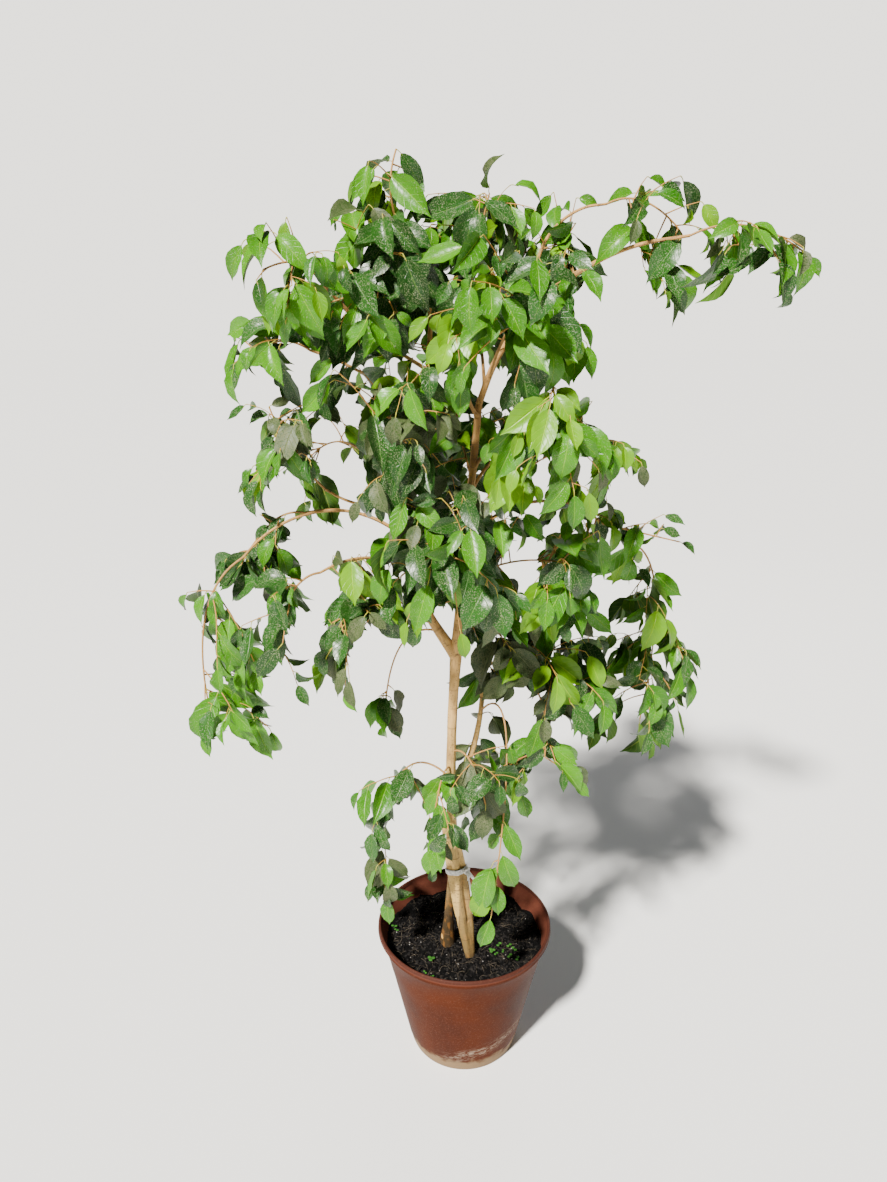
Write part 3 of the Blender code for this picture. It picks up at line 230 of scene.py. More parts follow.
MASSES = (
    Mass("top_sprig", "top_left_bough", 1.0, "young", 4, 10,
         centre=(-0.11, -0.03, 1.60), reach=(0.085, 0.09, 0.09), end=(0.0, 0.0, 0.5)),
    Mass("top_centre", "high_bough", 1.0, "fresh", 6, 22,
         centre=(0.0, -0.02, 1.565), reach=(0.135, 0.13, 0.11), end=(0.2, 0.0, 0.2)),
    Mass("top_right", "top_right_bough", 1.0, "fresh", 5, 14,
         centre=(0.135, 0.0, 1.50), reach=(0.09, 0.12, 0.11), end=(0.1, 0.0, 0.2)),
    Mass("upper_left_tip", "left_tip_bough", 1.0, "young", 5, 14,
         centre=(-0.24, -0.18, 1.465), reach=(0.09, 0.11, 0.095), end=(-0.5, 0.0, 0.1)),
    Mass("upper_left", "left_stem", 1.0, "dark", 7, 29,
         centre=(-0.155, -0.08, 1.45), reach=(0.14, 0.15, 0.15), end=(-0.3, -0.5, -0.2)),
    Mass("left_shoulder", "shoulder_bough", 1.0, "dark", 6, 22,
         centre=(-0.285, -0.02, 1.355), reach=(0.13, 0.13, 0.115), end=(-0.5, 0.0, 0.0)),
    Mass("upper_right", "upper_right_bough", 1.0, "fresh", 7, 29,
         centre=(0.045, -0.18, 1.41), reach=(0.135, 0.14, 0.15), end=(0.3, -0.3, 0.0)),
    Mass("long_limb_hang", "arched_bough", 1.0, "fresh", 7, 25,
         centre=(0.265, -0.04, 1.48), reach=(0.12, 0.12, 0.17), end=(0.4, 0.0, 0.3)),
    Mass("long_limb_tip", "long_limb", 1.0, "dark", 5, 14,
         centre=(0.385, -0.10, 1.49), reach=(0.125, 0.10, 0.08), end=(0.75, 0.0, 0.1)),
    Mass("left_mid", "left_mid_bough", 1.0, "dark", 6, 24,
         centre=(-0.28, -0.05, 1.22), reach=(0.105, 0.13, 0.15), end=(-0.3, -0.1, 0.4)),
    Mass("centre_mid", "left_stem", 0.60, "dusty", 8, 29,
         centre=(-0.12, -0.12, 1.27), reach=(0.145, 0.15, 0.175), end=(-0.1, -0.4, 0.0)),
    Mass("right_mid", "right_front_bough", 1.0, "young", 6, 22,
         centre=(0.105, -0.18, 1.24), reach=(0.11, 0.13, 0.14), end=(0.2, -0.1, -0.2)),
    Mass("right_mid_tip", "right_mid_bough", 1.0, "fresh", 5, 12,
         centre=(0.20, -0.02, 1.21), reach=(0.095, 0.12, 0.12), end=(0.5, 0.0, 0.0)),
    Mass("left_droop_upper", "left_far_bough", 1.0, "dark", 6, 18,
         centre=(-0.315, -0.07, 1.02), reach=(0.12, 0.12, 0.12), end=(-0.4, 0.0, 0.0)),
    Mass("left_droop_tip", "left_outer_bough", 1.0, "fresh", 8, 24,
         centre=(-0.385, -0.14, 0.87), reach=(0.095, 0.12, 0.215), end=(-0.3, 0.0, -0.65)),
    Mass("left_droop_near", "left_near_bough", 1.0, "dark", 5, 14,
         centre=(-0.285, -0.19, 0.975), reach=(0.085, 0.11, 0.14), end=(-0.2, 0.0, -0.3)),
    Mass("centre_left_low", "left_stem", 0.16, "dusty", 7, 26,
         centre=(-0.205, -0.14, 0.99), reach=(0.105, 0.13, 0.18), end=(-0.2, -0.2, -0.2)),
    Mass("centre_low", "trunk", 0.76, "dark", 8, 31,
         centre=(-0.035, -0.16, 1.07), reach=(0.14, 0.15, 0.155), end=(0.0, -0.4, 0.0)),
    Mass("right_low_near", "trunk", 0.72, "fresh", 7, 24,
         centre=(0.12, -0.08, 1.04), reach=(0.12, 0.14, 0.14), end=(0.3, -0.2, 0.0)),
    Mass("right_low_tip", "right_low_bough", 1.0, "fresh", 4, 9,
         centre=(0.285, 0.05, 1.025), reach=(0.12, 0.11, 0.085), end=(0.75, 0.0, 0.1)),
    Mass("right_low_outer", "right_drop_bough", 1.0, "fresh", 8, 29,
         centre=(0.32, 0.11, 0.77), reach=(0.125, 0.13, 0.225), end=(0.2, 0.0, -0.5)),
    Mass("right_low_inner", "right_stem", 1.0, "dusty", 7, 28,
         centre=(0.16, -0.03, 0.81), reach=(0.145, 0.14, 0.195), end=(0.3, 0.0, -0.1)),
    Mass("low_right", "low_right_bough", 1.0, "fresh", 5, 18,
         centre=(0.12, -0.08, 0.65), reach=(0.10, 0.10, 0.13), end=(0.1, 0.0, -0.2)),
    Mass("low_centre", "trunk", 0.43, "dark", 4, 11,
         centre=(0.03, -0.13, 0.655), reach=(0.08, 0.09, 0.14), end=(0.0, -0.2, -0.2)),
    Mass("low_front", "trunk", 0.40, "dark", 3, 8,
         centre=(-0.05, -0.13, 0.57), reach=(0.07, 0.08, 0.12), end=(-0.2, 0.0, -0.3)),
    Mass("low_left", "trunk", 0.38, "dark", 5, 18,
         centre=(-0.135, -0.03, 0.505), reach=(0.09, 0.10, 0.20), end=(-0.5, 0.0, -0.6)),
    Mass("pot_sprig", "right_stem", 0.60, "young", 3, 7,
         centre=(0.043, -0.17, 0.470), reach=(0.065, 0.07, 0.125), end=(0.0, 0.2, -0.5)),
    Mass("wisp", "left_stem", 0.08, "dark", 3, 6,
         centre=(-0.138, -0.03, 0.77), reach=(0.045, 0.06, 0.10), end=(-0.2, 0.0, -0.5)),
    Mass("back_low", "trunk", 0.62, "dark", 7, 18,
         centre=(0.0, 0.16, 0.96), reach=(0.16, 0.17, 0.17), end=(0.0, 0.4, 0.0)),
    Mass("back_mid", "trunk", 0.88, "dark", 7, 18,
         centre=(-0.02, 0.17, 1.21), reach=(0.15, 0.17, 0.15), end=(0.0, 0.4, 0.0)),
    Mass("back_left", "back_left_bough", 1.0, "fresh", 7, 18,
         centre=(-0.24, 0.20, 1.15), reach=(0.15, 0.15, 0.17), end=(-0.4, 0.3, 0.0)),
    Mass("back_right", "back_right_bough", 1.0, "fresh", 7, 18,
         centre=(0.20, 0.22, 1.18), reach=(0.15, 0.15, 0.17), end=(0.4, 0.3, 0.0)),
    Mass("back_top", "back_top_bough", 1.0, "fresh", 7, 18,
         centre=(0.02, 0.19, 1.42), reach=(0.17, 0.16, 0.13), end=(0.0, 0.4, 0.0)),
)


MASS_CENTRES = np.array([mass.centre for mass in MASSES])
MASS_REACHES = np.array([mass.reach for mass in MASSES])


@dataclass
class Path:
    """A centreline with the radius at each of its points and the direction that it sets out in."""

    points: np.ndarray
    radii: np.ndarray
    first: np.ndarray

    def finer(self, pitch: float) -> Path:
        """The same path as a smooth curve with points about a pitch apart.

        Args:
            pitch: distance between neighbouring points, in metres.

        Returns:
            A path through the same points, rounded between them.
        """
        before = self.points[0] * 2.0 - self.points[1]
        after = self.points[-1] * 2.0 - self.points[-2]
        knots = np.vstack([before, self.points, after])
        points, radii = [], []
        for index in range(len(self.points) - 1):
            one, two, three, four = knots[index:index + 4]
            count = max(2, int(np.linalg.norm(three - two) / pitch))
            for part in range(count):
                t = part / count
                points.append(0.5 * (2.0 * two + (three - one) * t
                                     + (2.0 * one - 5.0 * two + 4.0 * three - four) * t ** 2
                                     + (3.0 * two - one - 3.0 * three + four) * t ** 3))
                radii.append(self.radii[index] * (1.0 - t) + self.radii[index + 1] * t)
        points.append(self.points[-1])
        radii.append(self.radii[-1])
        return Path(np.array(points), np.array(radii), self.first)

    def cut(self, share: float) -> Path:
        """The path from its start up to a share of the way."""
        whole = int(share * (len(self.points) - 1) + 0.999)
        end, _ = place(self.points, min(share, 1.0))
        points = np.vstack([self.points[:whole], end])
        return Path(points, np.append(self.radii[:whole], self.radii[min(whole, len(self.radii) - 1)]), self.first)

    def along(self) -> np.ndarray:
        """The distance of each point from the start, measured along the path."""
        steps = np.linalg.norm(np.diff(self.points, axis=0), axis=1)
        return np.concatenate([[0.0], np.cumsum(steps)])


def unit(vector: np.ndarray) -> np.ndarray:
    """The vector at length one."""
    return vector / np.linalg.norm(vector)


def direction(heading: float, climb: float) -> np.ndarray:
    """The unit vector for a heading from +X and a climb above level, both in degrees."""
    turn, rise = math.radians(heading), math.radians(climb)
    return np.array((math.cos(rise) * math.cos(turn), math.cos(rise) * math.sin(turn), math.sin(rise)))


def place(points: np.ndarray, share: float) -> tuple[np.ndarray, np.ndarray]:
    """The point and tangent at a share of the way along a centreline.

    Args:
        points: the centreline's points.
        share: 0 at its start and 1 at its end.

    Returns:
        The point and the unit tangent there.
    """
    spot = share * (len(points) - 1)
    index = min(int(spot), len(points) - 2)
    step = points[index + 1] - points[index]
    return points[index] + step * (spot - index), unit(step)


def limb_path(limb: Limb, start: np.ndarray) -> Path:
    """The centreline of a limb, bending evenly or early from its foot to its tip.

    Args:
        limb: the limb's sizes.
        start: where it begins.

    Returns:
        The limb's path.
    """
    steps = TRUNK_STEPS if limb.name == "trunk" else LIMB_STEPS
    points = [np.array(start, float)]
    for step in range(steps):
        share = (step + 0.5) / steps
        bent = 1.0 - (1.0 - share) ** limb.ease
        heading = limb.heading + limb.turn * share
        points.append(points[-1] + direction(heading, limb.climb - limb.droop * bent) * limb.length / steps)
    found = np.array(points)
    return Path(found, np.linspace(limb.thick, limb.thin, steps + 1) / 2, unit(found[1] - found[0]))


def plan_limbs() -> dict[str, Path]:
    """All limbs by name, each starting on its parent's axis.

    Returns:
        The path of each limb.
    """
    planned: dict[str, Path] = {}
    for limb in LIMBS:
        if not limb.parent:
            planned[limb.name] = limb_path(limb, np.array((*TRUNK_FOOT, SOIL_TOP)))
            continue
        start, _ = place(planned[limb.parent].points, limb.at)
        planned[limb.name] = limb_path(limb, start)
    return planned


def flare(above: np.ndarray, foot: tuple[float, float]) -> np.ndarray:
    """How thick a stem is at a height above the soil, beside what it is higher up."""
    swell, height = foot
    return 1.0 + swell * np.clip(1.0 - above / height, 0.0, 1.0)


def at_height(points: np.ndarray, height: float) -> np.ndarray:
    """The point of a rising centreline at a height."""
    return np.array([np.interp(height, points[:, 2], points[:, axis]) for axis in range(3)])


def leg_path(foot: tuple[float, float], bow: float, top_height: float, widening: tuple[float, float],
             trunk: Path) -> Path:
    """A leg of the bundle, from its foot in the soil into the trunk, bowed outwards.

    Args:
        foot: where it stands in the soil.
        bow: how far it bows out.
        top_height: the height where it ends inside the trunk.
        widening: the flare of its foot.
        trunk: the main stem.

    Returns:
        The leg's path.
    """
    start = np.array((*foot, SOIL_TOP - CUT_DEPTH))
    top = at_height(trunk.points, top_height)
    share = np.linspace(0.0, 1.0, LEG_STEPS + 1)[:, None]
    outward = unit(start - np.array((*TRUNK_FOOT, start[2])))
    points = start + (top - start) * share + outward * bow * np.sin(np.pi * share)
    radii = LEG_RADIUS * flare(points[:, 2] - SOIL_TOP, widening) * np.linspace(1.0, 0.85, LEG_STEPS + 1)
    return Path(points, radii, unit(points[1] - points[0]))


def stub_path(trunk: Path) -> Path:
    """The sawn stub of the third stem, pressed against the trunk's left side."""
    share = np.linspace(0.0, 1.0, LEG_STEPS + 1)
    points = np.array([at_height(trunk.points, STUB_FOOT + (STUB_TOP - STUB_FOOT) * part) for part in share])
    points[:, :2] += np.array(STUB_OFFSET) * (0.35 + 0.65 * share[:, None])
    return Path(points, np.full(LEG_STEPS + 1, LEG_RADIUS), unit(points[1] - points[0]))


def bundle(trunk: Path) -> list[Path]:
    """What is grown together with the main stem low down: two legs and a sawn stub."""
    return [leg_path(RIGHT_LEG_FOOT, RIGHT_LEG_BOW, RIGHT_LEG_TOP, FRONT_FLARE, trunk),
            leg_path(REAR_LEG_FOOT, REAR_LEG_BOW, REAR_LEG_TOP, REAR_FLARE, trunk), stub_path(trunk)]


def tie_space(trunk: Path) -> Path:
    """The space of the tie with its hanging ends, which leaves keep out of."""
    heights = (TIE_HEIGHT + TIE_WIDTH, TIE_HEIGHT - TIE_TAIL)
    points = np.array([at_height(trunk.points, height) for height in heights])
    return Path(points, np.full(2, TIE_ROOM), unit(points[1] - points[0]))


def arc(start: np.ndarray, first: np.ndarray, end: np.ndarray, steps: int) -> np.ndarray:
    """A curve that leaves the start along the first direction and arrives at the end."""
    reach = np.linalg.norm(end - start)
    bow = start + first * reach * 0.45 - DOWN * reach * 0.15
    share = np.linspace(0.0, 1.0, steps + 1)[:, None]
    return start * (1 - share) ** 2 + bow * 2 * share * (1 - share) + end * share ** 2


def mass_stem(mass: Mass, limbs: dict[str, Path]) -> Path:
    """The main stem of a mass, from its limb's tip or out of the side of a trunk stem.

    Args:
        mass: the mass of foliage.
        limbs: every limb's path.

    Returns:
        The stem's path.
    """
    start, tangent = place(limbs[mass.parent].points, mass.at)
    centre = np.array(mass.centre)
    end = centre + np.array(mass.end) * np.array(mass.reach)
    first = tangent
    if mass.at < 1.0:
        outward = centre - start
        outward = unit(outward - tangent * (outward @ tangent))
        first = unit(outward + tangent * 0.5)
    points = arc(start, first, end, STEM_STEPS)
    return Path(points, np.linspace(STEM_RADIUS, SHOOT_RADIUS, STEM_STEPS + 1), first)


def distance_in(mass: Mass, points: np.ndarray) -> np.ndarray:
    """How far out in a mass's space each point lies: 0 at its centre and 1 at its skin."""
    return np.linalg.norm((points - np.array(mass.centre)) / np.array(mass.reach), axis=-1)


def nearest_to(mass: Mass, point: np.ndarray) -> bool:
    """Whether a point lies deeper in this mass's space than in any neighbour's."""
    depths = np.linalg.norm((point - MASS_CENTRES) / MASS_REACHES, axis=1)
    return MASSES[int(np.argmin(depths))] is mass


def hides(points: np.ndarray, gaps: np.ndarray) -> bool:
    """Whether any of the points stands between the viewer and one of the gaps."""
    away = points - VIEW_POINT
    seen = VIEW_POINT + away * (-VIEW_POINT[1] / away[:, 1])[:, None]
    apart = (seen[:, None, ::2] - gaps[:, :2]) / gaps[:, 2:]
    return bool(np.any(np.sum(apart ** 2, axis=2) < 1.0))


def in_window(points: np.ndarray) -> bool:
    """Whether any of the points hides a gap where the sky shows, or the trunk where it shows."""
    return hides(points, SKY) or hides(points[points[:, 1] < TRUNK_BACK], VISTAS)


@dataclass(frozen=True)
class LeafHabit:
    """Sizes of the leaves and how they sit on their twigs."""

    length: float = 0.082
    ratio: float = 0.48
    smallest: float = 0.60
    tip_share: float = 0.16
    pitch: float = 0.0165
    petiole: float = 0.012
    widest: float = 0.42
    thick_room: float = 0.0026
    limb_room: float = 0.0015
    reach: float = 1.10
    tries: int = 7
    shrink: float = 0.93
    tilt: float = 0.52


@dataclass
class Blade:
    """A grown leaf: where its petiole leaves the twig, its frame, its size and its colour."""

    twig: np.ndarray
    root: np.ndarray
    axis: np.ndarray
    across: np.ndarray
    normal: np.ndarray
    length: float
    width: float
    tint: Tint = Tint.FRESH
    tone: float = 0.5

    def places(self) -> np.ndarray:
        """Points spread over the blade, used to keep it clear of its neighbours."""
        return self.root + BLADE_PLACES[:, :1] * self.axis * self.length + (
            BLADE_PLACES[:, 1:] * self.across * self.width)


def half_width(share: np.ndarray | float) -> np.ndarray | float:
    """Half the width of a leaf at a share of its length, as a share of its whole width."""
    widest = LeafHabit.widest
    return 0.5 * np.sqrt(np.clip(np.minimum(share / widest, (1.0 - share) / (1.0 - widest)), 0.0, 1.0))


BLADE_PLACES = np.array([(along, half_width(along) * side) for along in (0.08, 0.25, 0.42, 0.6, 0.78, 1.0)
                         for side in (-0.9, 0.0, 0.9)])


class Canopy:
    """Remembers every blade that has grown, so that new ones don't cut through them."""

    ROOM = 6000

    def __init__(self, limbs: Iterable[Path], habit: LeafHabit) -> None:
        """Takes the limbs as the first obstacles.

        Args:
            limbs: paths of the woody stems.
            habit: the sizes of the leaves.
        """
        self.habit = habit
        fine = [path.finer(0.006) for path in limbs]
        self.wood = np.concatenate([path.points for path in fine])
        self.wood_radii = np.concatenate([path.radii for path in fine])
        self.count = 0
        self.spread = np.zeros((self.ROOM, len(BLADE_PLACES), 3))
        self.frames = np.zeros((self.ROOM, 3, 3))
        self.roots = np.zeros((self.ROOM, 3))
        self.middles = np.zeros((self.ROOM, 3))
        self.sizes = np.zeros((self.ROOM, 2))

    @staticmethod
    def inside(offset: np.ndarray, frame: np.ndarray, size: np.ndarray, room: np.ndarray | float) -> bool:
        """Whether any offset from a blade's root lies in the blade, widened by some room.

        Args:
            offset: points less the root, one row each.
            frame: the blade's axis, across and normal directions.
            size: its length and width.
            room: how far off still counts as touching.

        Returns:
            True if a point touches the blade.
        """
        along = np.einsum("...k,...k", offset, frame[..., 0, :])
        aside = np.abs(np.einsum("...k,...k", offset, frame[..., 1, :]))
        above = np.abs(np.einsum("...k,...k", offset, frame[..., 2, :]))
        share = np.clip(along / size[..., 0], 0.0, 1.0)
        half = half_width(share) * size[..., 1]
        near = (along > -room) & (along < size[..., 0] + room) & (above < room)
        return bool(np.any(near & (aside < half + room)))

    def is_free(self, blade: Blade) -> bool:
        """Whether a blade clears the wood and every blade that has grown before it.

        Args:
            blade: the new blade.

        Returns:
            True if it may grow.
        """
        frame = np.stack([blade.axis, blade.across, blade.normal])
        size = np.array((blade.length, blade.width))
        middle = blade.root + blade.axis * blade.length / 2
        close = np.linalg.norm(self.wood - middle, axis=1) < blade.length
        room = self.wood_radii[close] + self.habit.limb_room
        if np.any(close) and self.inside(self.wood[close] - blade.root, frame, size, room):
            return False
        near = np.nonzero(np.linalg.norm(self.middles[:self.count] - middle, axis=1) < blade.length)[0]
        if not len(near):
            return True
        room = self.habit.thick_room
        if self.inside(self.spread[near] - blade.root, frame, size, room):
            return False
        offset = blade.places()[None] - self.roots[near][:, None]
        return not self.inside(offset, self.frames[near][:, None], self.sizes[near][:, None], room)

    def add(self, blade: Blade) -> None:
        """Keeps a blade that has grown."""
        number = self.count
        self.spread[number] = blade.places()
        self.frames[number] = np.stack([blade.axis, blade.across, blade.normal])
        self.roots[number] = blade.root
        self.middles[number] = blade.root + blade.axis * blade.length / 2
        self.sizes[number] = blade.length, blade.width
        self.count += 1


@dataclass
class Twig:
    """A growing twig: its path, its age from 1 for a main stem, the twig that it grew from and where,
    how far out in the mass's space its leaves may hang, and how far along it bears something."""

    path: Path
    age: float
    parent: Twig | None = None
    at: float = 0.0
    reach: float = LeafHabit.reach
    borne: float = 0.0


@dataclass
class Growth:
    """What one mass grew."""

    mass: Mass
    twigs: list[Twig] = field(default_factory=list)
    blades: list[Blade] = field(default_factory=list)


class Crown:
    """Grows the twigs and leaves of every mass by the seeded rule of the solids, only finer."""

    # How the sprays of a mass are dealt their looks: its own tint first, then the others.
    DEALT = {
        Tint.YOUNG: (0.36, 0.44, 0.16, 0.04),
        Tint.FRESH: (0.14, 0.48, 0.33, 0.05),
        Tint.DARK: (0.03, 0.27, 0.61, 0.09),
        Tint.DUSTY: (0.05, 0.22, 0.39, 0.34),
    }
    # Masses that the photograph shows thinner or denser than the rest.
    FULLNESS = {"pot_sprig": 0.35, "low_left": 0.7, "low_front": 0.6, "low_centre": 0.75, "left_droop_tip": 0.75,
                "left_droop_near": 0.75, "left_droop_upper": 0.8, "right_low_tip": 0.6, "top_sprig": 0.5,
                "long_limb_tip": 0.9, "wisp": 2.4, "upper_left": 1.4, "centre_mid": 1.4, "centre_low": 1.4,
                "upper_right": 1.4, "top_centre": 1.3, "top_right": 1.3, "centre_left_low": 1.25, "right_mid": 1.2,
                "right_low_near": 1.3, "right_low_inner": 1.2, "back_low": 1.2, "back_mid": 1.2, "back_top": 1.2}
    MORE_SHOOTS = 2.0
    BOUGH_TWIGS = 0.024
    BOUGH_BARE = 0.30
    BOUGH_TWIG_LENGTH = 0.075
    BOUGH_TWIG_REACH = 1.75
    SIDE_SHOOT_FROM = 0.070
    SIDE_SHOOT_LENGTH = 0.060

    def __init__(self, limbs: dict[str, Path], habit: LeafHabit) -> None:
        """Plans the main stem of every mass.

        Args:
            limbs: every limb's path.
            habit: the sizes of the leaves.
        """
        self.habit = habit
        self.limbs = limbs
        self.stems = {mass.name: mass_stem(mass, limbs) for mass in MASSES}
        trunk = limbs["trunk"]
        self.canopy = Canopy([*limbs.values(), *bundle(trunk), tie_space(trunk)], habit)

    def shoot(self, mass: Mass, stem: Path, longest: float, rng: np.random.Generator,
              skin: float = TWIG_SKIN, bare: float = STEM_BARE) -> tuple[Path, float] | None:
        """A side shoot that sets out level or rising and then bends down.

        Args:
            mass: the mass whose space it keeps to.
            stem: what it grows from.
            longest: its greatest length.
            rng: the mass's own random numbers.
            skin: how far out in the mass's space it may reach.
            bare: the share of the stem that bears none.

        Returns:
            The shoot's path and its place on the stem, or nothing where it would leave the space at once.
        """
        share = rng.uniform(bare, 0.95)
        start, tangent = place(stem.points, share)
        aside = unit(np.cross(tangent, -DOWN) + 1e-6)
        above = np.cross(aside, tangent)
        roll = rng.uniform(0.0, 2.0 * math.pi)
        heading = unit(tangent * 0.35 + aside * math.cos(roll) + above * math.sin(roll))
        step = rng.uniform(0.6, 1.0) * longest / SHOOT_STEPS
        points = [start]
        for _ in range(SHOOT_STEPS):
            heading = unit(heading + DOWN * SHOOT_WEEP + rng.normal(0.0, 0.05, 3))
            following = points[-1] + heading * step
            if (distance_in(mass, following) > skin or not nearest_to(mass, following)
                    or in_window(following[None])):
                break
            points.append(following)
        if len(points) < 3:
            return None
        found = np.array(points)
        radii = np.linspace(min(SHOOT_RADIUS, stem.radii[-1]), TWIG_TIP, len(points))
        return Path(found, radii, unit(found[1] - found[0])), share

    def twigs(self, mass: Mass, rng: np.random.Generator) -> list[Twig]:
        """The stem, its side shoots and theirs, each reaching for the emptiest part of the space.

        Args:
            mass: the mass to fill.
            rng: its random numbers.

        Returns:
            The twigs.
        """
        stem = Twig(self.stems[mass.name], 1.0)
        twigs = [stem]
        filled = stem.path.points
        for _ in range(round(mass.shoots * self.MORE_SHOOTS * self.FULLNESS.get(mass.name, 1.0))):
            best, best_room = None, 0.0
            for _ in range(SHOOT_TRIES):
                shoot = self.shoot(mass, stem.path, SHOOT_LONGEST, rng)
                if shoot is None:
                    continue
                room = float(np.min(np.linalg.norm(filled - shoot[0].points[-1], axis=1)))
                if room > best_room:
                    best, best_room = shoot, room
            if best is not None:
                twigs.append(Twig(best[0], 0.7, stem, best[1]))
                filled = np.concatenate([filled, best[0].points[1:]])
        for twig in twigs[1:]:
            if twig.path.along()[-1] > self.SIDE_SHOOT_FROM:
                side = self.shoot(mass, twig.path, self.SIDE_SHOOT_LENGTH, rng)
                if side is not None:
                    twigs.append(Twig(side[0], 0.4, twig, side[1]))
        return twigs + self.bough_twigs(mass, rng)

    def bough_twigs(self, mass: Mass, rng: np.random.Generator) -> list[Twig]:
        """Short leafy twigs along the bough that carries a mass.

        Args:
            mass: the mass.
            rng: its random numbers.

        Returns:
            The twigs.
        """
        if mass.at < 1.0:
            return []
        bough = self.limbs[mass.parent]
        count = round(bough.along()[-1] * (1.0 - self.BOUGH_BARE) / self.BOUGH_TWIGS)
        found = [self.shoot(mass, bough, self.BOUGH_TWIG_LENGTH, rng, self.BOUGH_TWIG_REACH, self.BOUGH_BARE)
                 for _ in range(count)]
        return [Twig(shoot[0], 0.5, reach=self.BOUGH_TWIG_REACH) for shoot in found if shoot is not None]

    def spots(self, twig: Path, bare: float) -> list[tuple[int, float]]:
        """Side and share of each place on a twig where a leaf may grow, its tip first."""
        count = int(twig.along()[-1] * (1.0 - bare) / self.habit.pitch)
        return [(0, 1.0)] + [(number, bare + (1.0 - bare) * number / max(count, 1)) for number in range(count)]

    def blade(self, twig: Path, share: float, order: int, rng: np.random.Generator, shrunk: float) -> Blade:
        """One hanging leaf on a twig, facing outwards and up to the light.

        Args:
            twig: what it hangs from.
            share: where on the twig.
            order: its number along the twig, which gives its side.
            rng: random numbers.
            shrunk: its size beside that of a leaf with all the room it wants.

        Returns:
            The planned leaf.
        """
        habit = self.habit
        spot, tangent = place(twig.points, share)
        aside = unit(np.cross(tangent, -DOWN) + 1e-6) * (1.0 if order % 2 else -1.0)
        hang, forward = rng.uniform(0.35, 1.5), 0.35
        if share == 1.0:
            aside, hang, forward = aside * 0.0, hang * 0.8, 0.55
        axis = unit(aside * 0.75 + tangent * forward + DOWN * hang + rng.normal(0.0, 0.2, 3))
        facing = np.array((spot[0], spot[1], 0.0)) * 2.0
        facing = facing + (TOWARDS_LIGHT if spot[1] < 0.10 else -DOWN * 0.4) + rng.normal(0.0, habit.tilt, 3)
        across = unit(np.cross(axis, facing))
        size = 1.08 - (1.08 - habit.smallest) * rng.random() ** 1.4 - habit.tip_share * share ** 3
        size = max(size * shrunk, habit.smallest * 0.7)
        leaving = unit(axis + tangent * 0.3 + aside * 0.3)
        root = spot + leaving * habit.petiole * size
        ratio = habit.ratio * rng.uniform(0.88, 1.12)
        return Blade(spot, root, axis, across, np.cross(across, axis), habit.length * size,
                     habit.length * size * ratio)

    def grow(self, mass: Mass) -> Growth:
        """The twigs and leaves of one mass.

        Args:
            mass: the mass of foliage.

        Returns:
            What it grew.
        """
        rng = np.random.default_rng(MASSES.index(mass) + 1)
        twigs = self.twigs(mass, rng)
        grown = Growth(mass)
        shares = self.DEALT[Tint(mass.tint)]
        for index, twig in enumerate(twigs):
            tint = list(Tint)[int(rng.choice(4, p=shares))]
            spray_tone = rng.uniform(0.2, 0.8)
            for order, share in self.spots(twig.path, STEM_BARE if index == 0 else SHOOT_BARE):
                for attempt in range(self.habit.tries):
                    blade = self.blade(twig.path, share, order, rng, self.habit.shrink ** attempt)
                    places = blade.places()
                    outside = np.any(distance_in(mass, places) > twig.reach)
                    if outside or not nearest_to(mass, places[7]) or in_window(places):
                        continue
                    if self.canopy.is_free(blade):
                        blade.tint = tint
                        blade.tone = float(np.clip(spray_tone + rng.normal(0.0, 0.15), 0.0, 1.0))
                        self.canopy.add(blade)
                        grown.blades.append(blade)
                        twig.borne = max(twig.borne, share)
                        break
        for twig in reversed(twigs):
            if twig.borne > 0.0:
                grown.twigs.append(Twig(twig.path.cut(twig.borne), twig.age))
                if twig.parent is not None:
                    twig.parent.borne = max(twig.parent.borne, twig.at)
        return grown


def socket_id(tree: bpy.types.NodeTree, label: str) -> str:
    """The identifier of a tree's input socket, found by its label."""
    return next(item.identifier for item in tree.interface.items_tree
                if item.item_type == "SOCKET" and item.in_out == "INPUT" and item.name == label)


def add_node(tree: bpy.types.NodeTree, kind: str, inputs: dict[Any, Any] | None = None,
             **settings: Any) -> bpy.types.Node:
    """Adds a node, sets its properties and fills or links its inputs.

    Args:
        tree: the tree that takes it.
        kind: the node's type.
        inputs: a value or another node's output for each named or numbered input.
        settings: the node's own properties.

    Returns:
        The new node.
    """
    node = tree.nodes.new(kind)
    for name, value in settings.items():
        setattr(node, name, value)
    for name, value in (inputs or {}).items():
        if isinstance(value, bpy.types.NodeSocket):
            tree.links.new(value, node.inputs[name])
        else:
            node.inputs[name].default_value = value
    return node


def new_tree(name: str, kind: str, inputs: Sequence[tuple], outputs: Sequence[tuple]) -> bpy.types.NodeTree:
    """An empty node tree with named inputs and outputs.

    Args:
        name: the tree's name.
        kind: GeometryNodeTree or ShaderNodeTree.
        inputs: label, socket type and default of each input.
        outputs: label and socket type of each output.

    Returns:
        The tree, with its group input and output nodes in place.
    """
    tree = bpy.data.node_groups.new(name, kind)
    for label, socket_type, *default in inputs:
        socket = tree.interface.new_socket(label, in_out="INPUT", socket_type=socket_type)
        if default:
            socket.default_value = default[0]
    for label, socket_type in outputs:
        tree.interface.new_socket(label, in_out="OUTPUT", socket_type=socket_type)
    tree.nodes.new("NodeGroupInput")
    tree.nodes.new("NodeGroupOutput")
    return tree


def ends(tree: bpy.types.NodeTree) -> tuple[bpy.types.Node, bpy.types.Node]:
    """A tree's group input and group output nodes."""
    return tree.nodes["Group Input"], tree.nodes["Group Output"]


